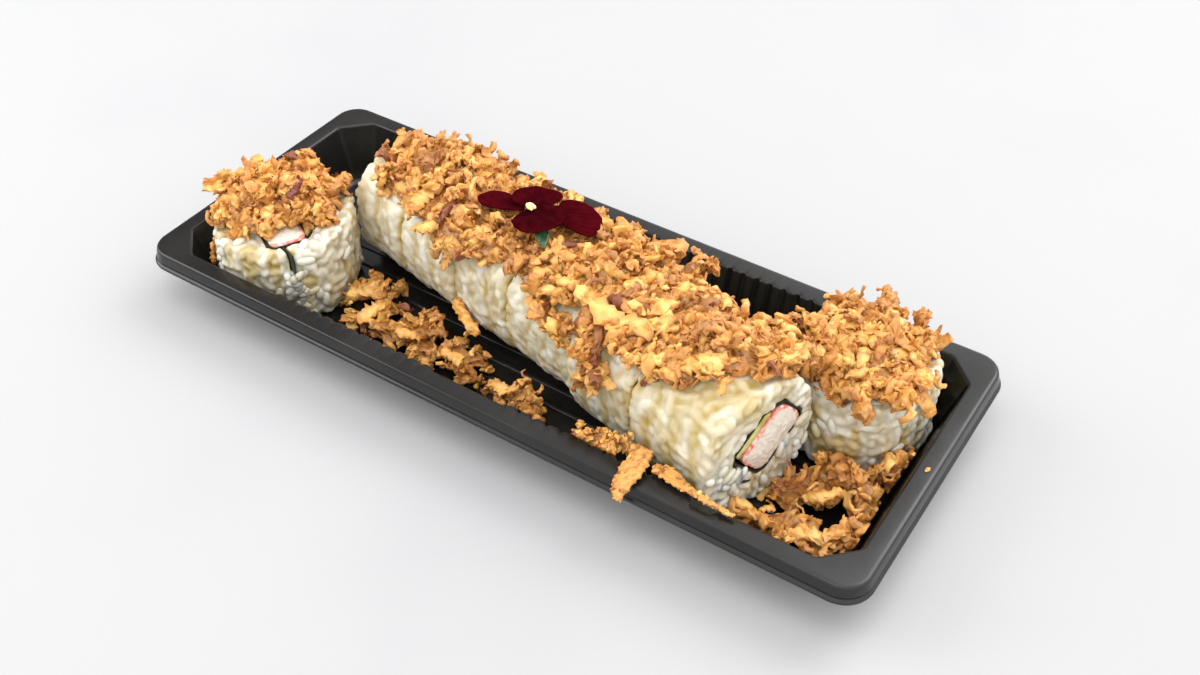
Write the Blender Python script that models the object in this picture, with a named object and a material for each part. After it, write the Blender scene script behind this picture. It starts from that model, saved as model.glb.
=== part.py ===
"""Takeaway tray with an inside-out sushi roll, crispy onions and a viola.

Lengths in the constants are millimetres. The origin is the middle of the tray's underside,
+X runs along the tray, +Z is up and the long side at -Y is the front.
"""

import math
import random

import bmesh
import bpy
from mathutils import Matrix, Vector

MM = 0.001
GAP = 0.3

# Tray: one sheet of black plastic, pressed.
TRAY_HALF_X = 111.0
TRAY_HALF_Y = 44.46
TRAY_HEIGHT = 18.7
SHEET = 0.7
CORNER_R = 6.8
OPENING_HALF_X = 106.0
OPENING_HALF_Y = 39.6
OPENING_CUT = 8.0
CUT_GROWTH = 0.59
WALL_IN = 5.2
BASE_IN = 7.0
LIP_OUT = 1.2
LIP_DROP = 4.8
FLUTE_PITCH = 4.2
FLUTE_DEPTH = 1.0
FLUTE_START = 11.6
FLUTE_TOP = (0.8, 3.0)
FLUTES = 13
NOTCH = (66.3, 72.8, 3.0)
NOTCH_SLOPES = (0.6, 1.2)
# The rim from its inner edge to its lip and back underneath: how far out and how far down.
RIM_STEPS = (
    (-0.5, 0.0), (0.0, 0.6), (0.6, 2.9), (0.35, 3.6), (LIP_OUT, 4.1), (LIP_OUT, LIP_DROP),
    (-0.3, LIP_DROP), (-0.8, SHEET),
)
RIB_ROWS = (-18.9, -12.6, -6.3, 0.0, 6.3, 12.6, 18.9)
RIB_HALF_X = 79.0
RIB_WIDTH = 2.2
RIB_HEIGHT = 0.6

# Roll: eight pieces of one roll, six lying in a row and the two ends standing.
FLOOR = SHEET + RIB_HEIGHT + GAP
ROLL_HALF = 18.6
ROLL_POWER = 2.6
RICE_SIDES = 22
RICE_BUMP = 0.9
CUT_DENT = 0.8
ROLL_START = (-67.6, 18.0)
# The roll is thinner towards its left: share of the full size at distances along it.
ROLL_TAPER = ((0, 0.895), (25, 0.925), (50, 0.95), (75, 0.975), (100, 0.99), (141, 1.0))
SLICE_CUTS = (
    # direction in degrees, length, slip towards the front
    (-12.6, 21.6, 0.0),
    (-12.6, 22.6, 0.2),
    (-12.6, 21.0, -0.2),
    (-12.6, 25.6, 0.0),
    (-14.2, 23.2, 2.4),
    (-16.5, 27.6, 0.2),
)
LEFT_END = (-82.2, -17.4, 19.6, 25.0)
RIGHT_END = (82.0, 18.9, 18.6, -14.0)
END_HEIGHT = 24.0
LEFT_FILL = ((1.5, -6.6), -55.0, 1)
RIGHT_FILL = ((5.2, 1.4), 102.0, -1)
LEFT_CLEFT = ((3.2, -13.4), (5.0, -15.2), (8.6, -18.4))

# Filling, as it lies in the cut that shows: long axis and short axis of the crab stick.
FILL_AT = (4.0, 1.2)
FILL_TILT = 43.0
STICK_HALF = (8.9, 6.0)
STICK_R = 2.8
NORI = 0.5
NORI_LOOP = (
    (-7.6, -6.35), (7.4, -6.35), (9.25, -4.6), (9.25, 4.4), (7.7, 6.35),
    (4.2, 9.15), (-8.2, 9.2), (-9.4, 7.6), (-9.3, -4.6),
)
AVOCADO = ((-8.7, 6.5), (4.2, 6.35), (5.6, 6.8), (3.8, 8.75), (-2.0, 8.3), (-7.8, 8.8))
NORI_TAIL = ((-9.5, 6.4), (-12.1, 4.6), (-14.2, 4.1), (-15.9, 5.0))
NORI_BRANCH = ((-13.1, 4.3), (-13.2, -1.7), (-12.0, -4.1))
# The filling of the two standing ends is a little thinner.
END_FILL = 0.87

# Crispy onions on the roll: how far they reach down its near and its far side, in degrees from
# straight up, how thick they lie, and how much more of them lies on the far shoulder.
NEAR_EDGE = (
    (3, 20), (9, 46), (19, 42), (31, 52), (41, 66), (52, 56), (61, 38), (73, 42),
    (94, 34), (103, 46), (116, 42), (124, 42), (132, 22), (137, 4), (141, -12),
)
FAR_EDGE = ((3, -24), (10, -40), (40, -50), (80, -54), (110, -62), (141, -66))
THICKNESS = ((3, 1.6), (12, 4.2), (50, 4.4), (80, 4.4), (105, 5.2), (130, 4.0), (141, 2.6))
FAR_BULGE = ((3, 0.0), (84, 1.0), (98, 4.6), (106, 7.6), (116, 6.8), (128, 5.4), (141, 5.0))
HEAP_ENDS = (4.0, 139.5)
HEAP_RINGS = 15
CHIP_ROWS = 18
CHIP_APART = 7.6
CHIP_SIZES = (5.4, 8.0)
# Flakes that hang lower on the near side: distance along the roll, angle, size.
HANGING = (
    (79, 48, 6.5), (82, 55, 6.5), (86, 61, 6.0), (89, 66, 4.5),
    (97, 46, 7.5), (101, 55, 7.5), (104, 64, 7.0), (105, 72, 5.5), (104, 79, 4.0),
)
# Rings of the mound over a standing piece: share of the piece's size, height as a share.
MOUND = ((0.86, -0.4), (0.9, 0.1), (0.74, 0.7), (0.4, 0.92))
# Front and right edge of the left piece's top, where the rice is bare.
BARE_SHOULDER = (
    (-58.0, -42.0), (-58.0, 8.0), (-77.0, 8.0), (-71.5, -0.5), (-67.5, -7.0), (-68.0, -13.0),
    (-70.0, -19.0), (-75.5, -21.5), (-76.5, -28.5), (-83.5, -33.0), (-92.0, -32.0), (-96.0, -42.0),
)
# Edge between the onions of the roll and those of the right piece.
DIVIDE = ((58.0, 46.0), (62.5, 15.5), (69.0, 5.5), (76.8, 0.7), (88.0, -2.4), (112.0, -9.0), (112.0, 46.0))

# Fallen onions, each heap a chain of overlapping flakes: place and height of each flake's middle.
TROUGH_1 = (
    (-60.5, -20.4, 4.2), (-56.1, -13.6, 4.8), (-51.8, -11.5, 4.6), (-47.7, -15.7, 4.4), (-47.8, -21.9, 5.0),
    (-45.2, -24.6, 4.2), (-36.7, -19.9, 4.6), (-33.4, -15.3, 4.2), (-40.1, -26.0, 4.2), (-30.9, -21.8, 4.6),
    (-27.9, -25.5, 4.6), (-26.7, -22.8, 4.2), (-21.6, -20.0, 4.2), (-17.7, -23.6, 5.0), (-14.9, -18.6, 4.4),
    (-12.6, -26.5, 4.4),
)
TROUGH_2 = (
    (-4.4, -25.6, 4.2), (-1.2, -25.5, 4.8), (0.4, -27.3, 4.2), (3.8, -23.4, 5.0), (6.1, -25.9, 4.2),
    (8.1, -23.0, 4.8), (9.5, -25.9, 4.2),
)
CORNER = (
    (73.5, -27.7, 4.6), (80.7, -26.2, 5.2), (83.5, -20.6, 5.2), (87.4, -22.0, 5.8), (94.6, -26.1, 6.6),
    (97.1, -24.8, 7.0), (101.4, -20.5, 8.0), (99.9, -10.7, 7.2), (78.6, -13.2, 4.6), (82.0, -12.4, 5.2),
    (86.5, -4.9, 5.0), (88.9, -9.8, 5.6), (92.6, -9.2, 6.2), (93.9, -3.9, 6.0), (95.8, -0.1, 6.6),
    (99.2, -4.3, 7.6), (101.1, 3.4, 9.2), (101.7, 6.7, 9.8),
)
FRONT_CHAIN = (
    (32.6, -36.6, 18.2), (35.8, -36.0, 18.6), (39.4, -35.4, 18.4), (42.6, -34.2, 17.8), (45.8, -33.6, 17.2),
)
RIM_FLAKE = (
    (50.8, -34.6, 21.4, 2.6), (50.4, -38.2, 20.9, 5.0), (50.3, -42.2, 20.4, 5.6), (50.6, -46.2, 19.6, 4.4),
    (50.9, -49.0, 17.2, 1.6),
)
RIM_STRIP = (
    (54.0, -37.9, 20.0, 2.2), (57.4, -37.4, 20.1, 4.0), (61.0, -38.0, 20.1, 3.4), (64.8, -39.2, 20.1, 2.0),
    (69.2, -39.8, 20.2, 1.6), (73.4, -40.0, 20.1, 1.4), (77.4, -40.2, 19.9, 0.9),
)
LEFT_FLAKE = ((-99.9, -28.0, 17.8, 1.6), (-98.8, -30.8, 14.6, 5.2), (-96.9, -33.8, 11.6, 2.6))
# Flake stuck low on the near side of a slice: slice, distances along the roll, angle, size.
STUCK = (3, ((48.6, 108, 6.0), (51.4, 112, 6.5), (53.8, 118, 5.0)))

# Viola, its petals as seen from above, and the height of each petal at the heart.
HEART = (-8.4, 1.5)
HEART_RINGS = ((1.5, 46.25), (1.7, 46.9), (1.3, 47.6), (0.6, 48.0))
PETAL = 0.6
PETALS = {
    "petal_left": (43.7, 0.10, (
        (-26.7, 2.1), (-26.0, 4.5), (-22.0, 7.2), (-17.9, 7.0), (-12.6, 4.4), (-12.0, 2.0),
        (-19.2, 0.2), (-23.4, -0.3))),
    "petal_right": (43.5, 0.09, (
        (-5.9, 11.9), (-3.2, 14.6), (2.0, 15.2), (6.7, 12.8), (9.4, 7.4), (8.5, 3.7), (2.4, 3.2),
        (-3.6, 5.2))),
    "petal_top": (44.7, 0.06, (
        (-17.7, 5.2), (-17.0, 9.8), (-12.5, 13.3), (-7.8, 14.0), (-5.4, 12.1), (-5.6, 8.0),
        (-8.2, 3.6), (-13.5, 3.0))),
    "petal_front": (45.7, 0.13, (
        (-10.4, -4.7), (-10.2, -1.0), (-8.2, 4.0), (-4.0, 7.6), (0.1, 4.9), (0.7, 0.0), (-2.1, -4.5),
        (-6.4, -6.4))),
}
FLOWER_ROOM = (
    (-28.0, 1.0), (-24.0, -2.5), (-13.0, -1.5), (-11.5, -7.0), (-7.0, -8.6), (1.0, -8.0), (3.0, -2.0),
    (10.5, 2.0), (11.0, 8.0), (8.0, 14.0), (2.0, 16.8), (-6.0, 15.8), (-13.0, 15.0), (-20.0, 9.2),
    (-27.2, 6.2),
)
SEPAL = ((-4.6, 0.6, 43.0, 2.4), (-2.0, -2.6, 42.6, 3.8), (0.9, -6.2, 41.8, 1.0))


def clear_scene():
    for obj in list(bpy.data.objects):
        bpy.data.objects.remove(obj, do_unlink=True)
    for coll in list(bpy.data.collections):
        bpy.data.collections.remove(coll)


def paint(name, colour, rough, metal=0.0):
    mat = bpy.data.materials.new(name)
    mat.use_nodes = True
    shader = mat.node_tree.nodes["Principled BSDF"]
    shader.inputs["Base Color"].default_value = (*colour, 1.0)
    shader.inputs["Roughness"].default_value = rough
    shader.inputs["Metallic"].default_value = metal
    return mat


def body(name, points, faces, mat=None, smooth=False, place=None):
    """A closed mesh from points in millimetres, its normals made to face out."""
    mesh = bpy.data.meshes.new(name)
    mesh.from_pydata([Vector(p) * MM for p in points], [], faces)
    if place is not None:
        mesh.transform(place)
    bm = bmesh.new()
    bm.from_mesh(mesh)
    bmesh.ops.triangulate(bm, faces=[f for f in bm.faces if len(f.verts) > 3])
    bmesh.ops.recalc_face_normals(bm, faces=bm.faces)
    bm.to_mesh(mesh)
    bm.free()
    if smooth:
        mesh.shade_smooth()
    if mat is not None:
        mesh.materials.append(mat)
    obj = bpy.data.objects.new(name, mesh)
    bpy.context.scene.collection.objects.link(obj)
    return obj


def boolean(obj, others, operation):
    """One Boolean with all the others at once, applied; the others are then removed."""
    if not others:
        return obj
    group = bpy.data.collections.new(obj.name + "_tools")
    bpy.context.scene.collection.children.link(group)
    for other in others:
        bpy.context.scene.collection.objects.unlink(other)
        group.objects.link(other)
    mod = obj.modifiers.new("cut", "BOOLEAN")
    mod.operation = operation
    mod.operand_type = "COLLECTION"
    mod.collection = group
    mod.solver = "MANIFOLD"
    bpy.context.view_layer.update()
    graph = bpy.context.evaluated_depsgraph_get()
    mesh = bpy.data.meshes.new_from_object(obj.evaluated_get(graph))
    obj.modifiers.clear()
    old = obj.data
    obj.data = mesh
    bpy.data.meshes.remove(old)
    for other in others:
        bpy.data.objects.remove(other, do_unlink=True)
    bpy.data.collections.remove(group)
    return obj


def keep_largest(obj):
    """Drops the loose scraps that a cut left."""
    bm = bmesh.new()
    bm.from_mesh(obj.data)
    bmesh.ops.triangulate(bm, faces=[f for f in bm.faces if len(f.verts) > 3])
    left = set(bm.verts)
    shells = []
    while left:
        shell = set()
        todo = [left.pop()]
        while todo:
            vert = todo.pop()
            shell.add(vert)
            for edge in vert.link_edges:
                other = edge.other_vert(vert)
                if other in left:
                    left.discard(other)
                    todo.append(other)
        shells.append(shell)
    shells.sort(key=len, reverse=True)
    for shell in shells[1:]:
        bmesh.ops.delete(bm, geom=list(shell), context="VERTS")
    bm.to_mesh(obj.data)
    bm.free()
    return obj


def loft(rings):
    """Points and faces of a closed body through rings of equal counts, both ends capped."""
    count = len(rings[0])
    points = [p for ring in rings for p in ring]
    faces = []
    for r in range(len(rings) - 1):
        for i in range(count):
            j = (i + 1) % count
            a, b = r * count + i, r * count + j
            c, d = a + count, b + count
            if (r + i) % 2:
                faces += [(a, b, d), (a, d, c)]
            else:
                faces += [(a, b, c), (b, d, c)]
    faces.append(tuple(range(count))[::-1])
    faces.append(tuple(range(len(points) - count, len(points))))
    return points, faces


def prism(outline, low, high):
    """Points and faces of an outline drawn out from low to high along z."""
    return loft([[(x, y, low) for x, y in outline], [(x, y, high) for x, y in outline]])


def grown(outline, by):
    """A counter-clockwise outline moved out by a distance."""
    out = []
    for i, (x, y) in enumerate(outline):
        px, py = outline[i - 1]
        qx, qy = outline[(i + 1) % len(outline)]
        first = Vector((y - py, px - x)).normalized()
        second = Vector((qy - y, x - qx)).normalized()
        half = (first + second).normalized()
        step = by / max(0.35, half.dot(first))
        out.append((x + half.x * step, y + half.y * step))
    return out


def between(table, s):
    """Value of a table of (place, value) rows at a place."""
    for (s0, v0), (s1, v1) in zip(table, table[1:]):
        if s <= s1:
            return v0 + (v1 - v0) * (s - s0) / (s1 - s0)
    return table[-1][1]


def row_of_slices():
    """Start, direction and length of each slice; neighbours almost touch at the near side."""
    x, y = ROLL_START
    out = []
    for n, (turn, length, slip) in enumerate(SLICE_CUTS):
        c, s = math.cos(math.radians(turn)), math.sin(math.radians(turn))
        if n:
            bend = abs(math.radians(turn - SLICE_CUTS[n - 1][0]))
            apart = GAP + 0.05 + (ROLL_HALF + 0.2) * bend
            x, y = x + c * apart + s * slip, y + s * apart - c * slip
        out.append((x, y, turn, length))
        x, y = x + c * length, y + s * length
    return out


SLICES = row_of_slices()


def ribbon(path, width):
    """The outline of a bent strip of a width round a path."""
    left, right = [], []
    for i, (x, y) in enumerate(path):
        before = path[max(i - 1, 0)]
        after = path[min(i + 1, len(path) - 1)]
        along = Vector((after[0] - before[0], after[1] - before[1])).normalized()
        left.append((x - along.y * width / 2, y + along.x * width / 2))
        right.append((x + along.y * width / 2, y - along.x * width / 2))
    return right + left[::-1]


# Tray


def round_rect(half_x, half_y, radius, steps=5):
    outline = []
    corners = ((1, 1, 0), (-1, 1, 90), (-1, -1, 180), (1, -1, 270))
    for sx, sy, start in corners:
        cx, cy = sx * (half_x - radius), sy * (half_y - radius)
        for k in range(steps + 1):
            t = math.radians(start + 90 * k / steps)
            outline.append((cx + radius * math.cos(t), cy + radius * math.sin(t)))
    return outline


def flute_offsets():
    """Places along a long wall and how far the wall stands in there, for both halves."""
    half = []
    for k in range(FLUTES):
        x = FLUTE_START + k * FLUTE_PITCH
        half += [(x, 0.0)] + [(x + step, FLUTE_DEPTH) for step in FLUTE_TOP]
    half.append((FLUTE_START + FLUTES * FLUTE_PITCH, 0.0))
    return [(-x, d) for x, d in reversed(half)] + half


def opening(grow, fluted=0.0, notch=0.0):
    """The tray's opening, counter-clockwise from its right side: cut corners, fluted long walls."""
    hx, hy = OPENING_HALF_X + grow, OPENING_HALF_Y + grow
    cut = OPENING_CUT + CUT_GROWTH * grow
    outline = [(hx, -hy + cut), (hx, hy - cut), (hx - cut, hy)]
    if fluted:
        outline += [(-x, hy - fluted * d) for x, d in flute_offsets()]
    outline += [(-hx + cut, hy), (-hx, hy - cut), (-hx, -hy + cut), (-hx + cut, -hy)]
    if fluted:
        outline += [(x, -hy + fluted * d) for x, d in flute_offsets()]
    if notch:
        start, end, depth = NOTCH
        near, far = NOTCH_SLOPES
        low = -hy - depth * notch
        outline += [(start, -hy), (start + near, low), (end - far, low), (end, -hy)]
    outline += [(hx - cut, -hy)]
    return outline


def strip(points, first, second):
    """Triangles between two closed rings that run the same way round but differ in count."""

    def turn(ring):
        angles = [math.atan2(points[i][1] * 2.4, points[i][0]) for i in ring]
        base = angles[0]
        out = [0.0]
        for before, after in zip(angles, angles[1:]):
            step = (after - before + math.pi) % (2 * math.pi) - math.pi
            out.append(out[-1] + step)
        return [a + base for a in out] + [base + 2 * math.pi]

    a, b = turn(first), turn(second)
    shift = round((b[0] - a[0]) / (2 * math.pi)) * 2 * math.pi
    b = [x - shift for x in b]
    i = j = 0
    faces = []
    while i < len(first) or j < len(second):
        p, q = first[i % len(first)], second[j % len(second)]
        if j >= len(second) or (i < len(first) and a[i + 1] <= b[j + 1]):
            faces.append((p, first[(i + 1) % len(first)], q))
            i += 1
        else:
            faces.append((p, second[(j + 1) % len(second)], q))
            j += 1
    return faces


def lip(out):
    """Outline of the rim, moved out from its top edge by a distance."""
    return round_rect(TRAY_HALF_X + out, TRAY_HALF_Y + out, CORNER_R + out)


def make_tray(mat):
    top = TRAY_HEIGHT
    rings = [
        (opening(-BASE_IN), SHEET),
        (opening(-WALL_IN, 0.8), SHEET + 1.5),
        (opening(-0.4, 1.0), top - 1.0),
        (opening(0.0, 1.0, 1.0), top),
        *((lip(out), top - down) for out, down in RIM_STEPS),
        (opening(SHEET, 0.0, 0.93), top - SHEET),
        (opening(SHEET - 0.25), top - 2.0),
        (opening(-WALL_IN + SHEET + 0.1), SHEET + 1.7),
        (opening(-BASE_IN + SHEET), 0.0),
    ]
    points, loops = [], []
    for outline, z in rings:
        loops.append(list(range(len(points), len(points) + len(outline))))
        points += [(x, y, z) for x, y in outline]
    faces = []
    for first, second in zip(loops, loops[1:]):
        if len(first) == len(second):
            count = len(first)
            for i in range(count):
                j = (i + 1) % count
                faces += [(first[i], first[j], second[j]), (first[i], second[j], second[i])]
        else:
            faces += strip(points, first, second)
    faces += [tuple(loops[0]), tuple(loops[-1])]
    tray = body("tray", points, faces, mat)
    ribs = []
    for y in RIB_ROWS:
        w, low, high = RIB_WIDTH / 2, SHEET - 0.3, SHEET + RIB_HEIGHT
        rings = []
        for z, slim in ((low, 0.0), (high, 0.5)):
            x = RIB_HALF_X - slim
            rings.append([(-x, y - w + slim, z), (x, y - w + slim, z), (x, y + w - slim, z),
                          (-x, y + w - slim, z)])
        ribs.append(body("rib", *loft(rings)))
    return boolean(tray, ribs, "UNION")


def room_in_tray():
    """The space inside the tray and above its rim, a gap away from the plastic."""
    wall = FLUTE_DEPTH + GAP + 0.05
    rings = [
        (opening(-BASE_IN - 0.2), FLOOR),
        (opening(-WALL_IN - wall + 0.5), SHEET + 1.9),
        (opening(-wall), TRAY_HEIGHT + GAP),
        (opening(30.0), TRAY_HEIGHT + GAP + 0.02),
        (opening(30.0), 80.0),
    ]
    return body("room", *loft([[(x, y, z) for x, y in outline] for outline, z in rings]))


# Roll


def roll_outline(half_w, half_h, sides, power=ROLL_POWER):
    out = []
    for k in range(sides):
        t = 2 * math.pi * (k + 0.5) / sides
        c, s = math.cos(t), math.sin(t)
        x = half_w * math.copysign(abs(c) ** (2 / power), c)
        y = half_h * math.copysign(abs(s) ** (2 / power), s)
        out.append((x, y))
    return out


def taper(s):
    return between(ROLL_TAPER, s)


def squeezed(x, y, share):
    """A point of the cut made smaller, the roll's near side and its underside kept in place."""
    return -ROLL_HALF + (x + ROLL_HALF) * share, -ROLL_HALF + (y + ROLL_HALF) * share


def lying(x, y, turn):
    """Places a body drawn with z along the roll so that it lies on the floor: x far, y up."""
    c, s = math.cos(math.radians(turn)), math.sin(math.radians(turn))
    up = FLOOR + ROLL_HALF
    return Matrix(((-s, 0, c, x * MM), (c, 0, s, y * MM), (0, 1, 0, up * MM), (0, 0, 0, 1)))


def standing(x, y, turn):
    c, s = math.cos(math.radians(turn)), math.sin(math.radians(turn))
    return Matrix(((c, -s, 0, x * MM), (s, c, 0, y * MM), (0, 0, 1, FLOOR * MM), (0, 0, 0, 1)))


def filling_frame(at, tilt, turned=1, size=1.0):
    """Turns filling coordinates into coordinates of the cut."""
    c, s = size * math.cos(math.radians(tilt)), size * math.sin(math.radians(tilt))

    def place(outline):
        moved = [(at[0] + c * x - s * y * turned, at[1] + s * x + c * y * turned)
                 for x, y in outline]
        return moved if turned > 0 else moved[::-1]

    return place


def stick_outline():
    hx, hy = STICK_HALF
    return round_rect(hx, hy, STICK_R, 2)


def rice_body(name, outline, length, seed, place, mat, edge=1.0, spans=4, start=None):
    """A piece of roll: rings with bumps, its cut edges a little rounded; start: its place in the row."""
    rng = random.Random(seed)
    stations = [0.0, edge] + [edge + (length - 2 * edge) * k / spans for k in range(1, spans)]
    stations += [length - edge, length]
    rings = []
    for n, z in enumerate(stations):
        end = n in (0, len(stations) - 1)
        ring = []
        for x, y in outline:
            size = math.hypot(x, y)
            dent = rng.uniform(0, RICE_BUMP) + (CUT_DENT if end else 0.0)
            drift = 0.0 if end or n in (1, len(stations) - 2) else rng.uniform(-0.8, 0.8)
            scale = (size - dent) / size
            px, py = x * scale, y * scale
            if start is not None:
                px, py = squeezed(px, py, taper(start + z))
            ring.append((px, py, z + drift))
        rings.append(ring)
    return body(name, *loft(rings), mat, True, place)


def filling(tag, length, place, spec, mats, rice, tails=()):
    """The seaweed, crab stick and avocado of one piece, and the hole for them in its rice."""
    fit = filling_frame(*spec)
    outer = grown(NORI_LOOP, NORI)
    nori = body("nori_" + tag, *prism(fit(outer), 0.0, length), mats["nori"], False, place)
    tools = [body("hole", *prism(fit(grown(outer, GAP)), -1.0, length + 1.0), place=place)]
    fins = []
    for path in tails:
        fins.append(body("fin", *prism(ribbon(path, NORI), 0.0, length), place=place))
        first = Vector(path[0]) - Vector(path[1])
        last = Vector(path[-1]) - Vector(path[-2])
        wide = [tuple(Vector(path[0]) + first.normalized() * GAP)] + list(path[1:-1])
        wide.append(tuple(Vector(path[-1]) + last.normalized() * GAP))
        tools.append(body("slot", *prism(ribbon(wide, NORI + 2 * GAP), -1.0, length + 1.0), place=place))
    boolean(rice, tools, "DIFFERENCE")
    boolean(rice, [room_in_tray()], "INTERSECT")
    keep_largest(rice)
    boolean(nori, fins, "UNION")
    boolean(nori, [body("bore", *prism(fit(NORI_LOOP), -1.0, length + 1.0), place=place)], "DIFFERENCE")
    keep_largest(nori)
    body("surimi_" + tag, *prism(fit(stick_outline()), -0.1, length + 0.1), mats["surimi"], True, place)
    body("avocado_" + tag, *prism(fit(AVOCADO), 0.0, length - 0.1), mats["avocado"], False, place)


def make_slices(mats):
    start = 0.0
    for n, (x, y, turn, length) in enumerate(SLICES, 1):
        place = lying(x, y, turn)
        rice = rice_body(f"slice_{n}", roll_outline(ROLL_HALF, ROLL_HALF, RICE_SIDES), length, 40 + n,
                         place, mats["rice"], start=start)
        stuck_slice, flakes = STUCK
        if n == stuck_slice:
            rng = random.Random(5)
            stuck = [crag(on_roll(s, angle, 0.8), size, rng, 1.3) for s, angle, size in flakes]
            boolean(rice, stuck, "UNION")
        spec = (squeezed(*FILL_AT, taper(start + length / 2)), FILL_TILT, 1)
        fit = filling_frame(*spec)
        paths = [fit(NORI_TAIL)] + ([fit(NORI_BRANCH)] if n == len(SLICES) else [])
        filling(str(n), length, place, spec, mats, rice, paths)
        start += length + GAP


def make_ends(mats):
    for tag, end, spec, power, seed, paths in (
        ("left", LEFT_END, LEFT_FILL, 2.3, 71, [LEFT_CLEFT]),
        ("right", RIGHT_END, RIGHT_FILL, 2.4, 83, []),
    ):
        x, y, half, turn = end
        place = standing(x, y, turn)
        rice = rice_body("end_" + tag, roll_outline(half, half, RICE_SIDES, power), END_HEIGHT, seed, place,
                         mats["rice"], edge=2.0, spans=3)
        filling(tag, END_HEIGHT, place, (*spec, END_FILL), mats, rice, paths)


# Crispy onions


def crag(at, size, rng, stretch=1.0, flat=0.45, lean=None):
    """One chip of fried onion: a crooked wedge; lean: the way its sharpest corner points."""
    turn = rng.uniform(0, 6.28) if lean is None else lean
    spin = Matrix.Rotation(turn, 3, "Z") @ Matrix.Rotation(rng.uniform(-0.6, 0.6), 3, "X")
    points = []
    for level in (-1, 1):
        for k in range(3):
            t = 2 * math.pi * k / 3
            p = Vector((math.cos(t) * stretch * 0.62, math.sin(t) * 0.62, level * flat / 2))
            p *= size * rng.uniform(0.72, 1.05)
            p += Vector([rng.uniform(-0.1, 0.1) * size for _ in range(3)])
            points.append(tuple(spin @ p + Vector(at)))
    faces = [(0, 2, 1), (3, 4, 5), (0, 1, 4), (0, 4, 3), (1, 2, 5), (1, 5, 4), (2, 0, 3), (2, 3, 5)]
    return body("crag", points, faces)


def shard(name, path, thick, mat, normal=(0, 0, 1)):
    """A thin bent flake: a path with a width at each point, both faces split alike."""
    up = Vector(normal).normalized()
    rings = []
    for i, (x, y, z, width) in enumerate(path):
        before = Vector(path[max(i - 1, 0)][:3])
        after = Vector(path[min(i + 1, len(path) - 1)][:3])
        side = (after - before).cross(up).normalized() * width / 2
        lift = side.cross(after - before).normalized() * thick / 2
        p = Vector((x, y, z))
        rings.append([tuple(p - side - lift), tuple(p + side - lift), tuple(p + side + lift),
                      tuple(p - side + lift)])
    return body(name, *loft(rings), mat)


def roll_at(s):
    """Centre of the row of slices at a distance along it, and its direction there."""
    for x, y, turn, length in SLICES:
        if s <= length or (x, y, turn, length) == SLICES[-1]:
            c, d = math.cos(math.radians(turn)), math.sin(math.radians(turn))
            return x + c * s, y + d * s, turn
        s -= length + GAP
    return None


def on_roll(s, angle, lift):
    """A point over the roll at an angle from straight up, positive to the near side."""
    x, y, turn = roll_at(s)
    share = taper(s)
    t = math.radians(90 + angle)
    c, d = math.cos(t), math.sin(t)
    out = ROLL_HALF + lift / share
    a = out * math.copysign(abs(c) ** (2 / ROLL_POWER), c)
    b = out * math.copysign(abs(d) ** (2 / ROLL_POWER), d)
    a, b = squeezed(a, b, share)
    r = math.radians(turn)
    return x - math.sin(r) * a, y + math.cos(r) * a, FLOOR + ROLL_HALF + b


def roll_cutters(grow=0.35):
    """The slices as smooth bodies, a gap larger."""
    tools = []
    start = 0.0
    for x, y, turn, length in SLICES:
        rings = []
        for z in (-grow, length / 2, length + grow):
            share = taper(start + z)
            outline = roll_outline(ROLL_HALF, ROLL_HALF, 24)
            ring = [squeezed(px, py, share) for px, py in outline]
            rings.append([(px, py, z) for px, py in grown(ring, grow + 0.12)])
        tools.append(body("clear", *loft(rings), place=lying(x, y, turn)))
        start += length + GAP
    return tools


def end_cutter(spec, power, grow=0.35):
    x, y, half, turn = spec
    outline = grown(roll_outline(half, half, 24, power), grow + 0.12)
    return body("clear", *prism(outline, -FLOOR, END_HEIGHT + grow), place=standing(x, y, turn))


def pile(name, spots, mat, sizes, seed, tools=()):
    """Overlapping flakes as one body, kept inside the tray and clear of the tools."""
    rng = random.Random(seed)
    flakes = []
    for n, at in enumerate(spots):
        size = rng.uniform(*sizes)
        if n:
            near = min(spots[:n], key=lambda p: math.dist(p, at))
            size = max(size, 1.9 * math.dist(near, at))
            lean = math.atan2(near[1] - at[1], near[0] - at[0])
        else:
            lean = 0.0
        flakes.append(crag(at, size, rng, rng.uniform(1.1, 1.3), 0.4, lean))
    heap = flakes[0]
    heap.name = name
    heap.data.name = name
    heap.data.materials.append(mat)
    boolean(heap, flakes[1:], "UNION")
    boolean(heap, [room_in_tray()], "INTERSECT")
    boolean(heap, list(tools), "DIFFERENCE")
    return keep_largest(heap)


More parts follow.
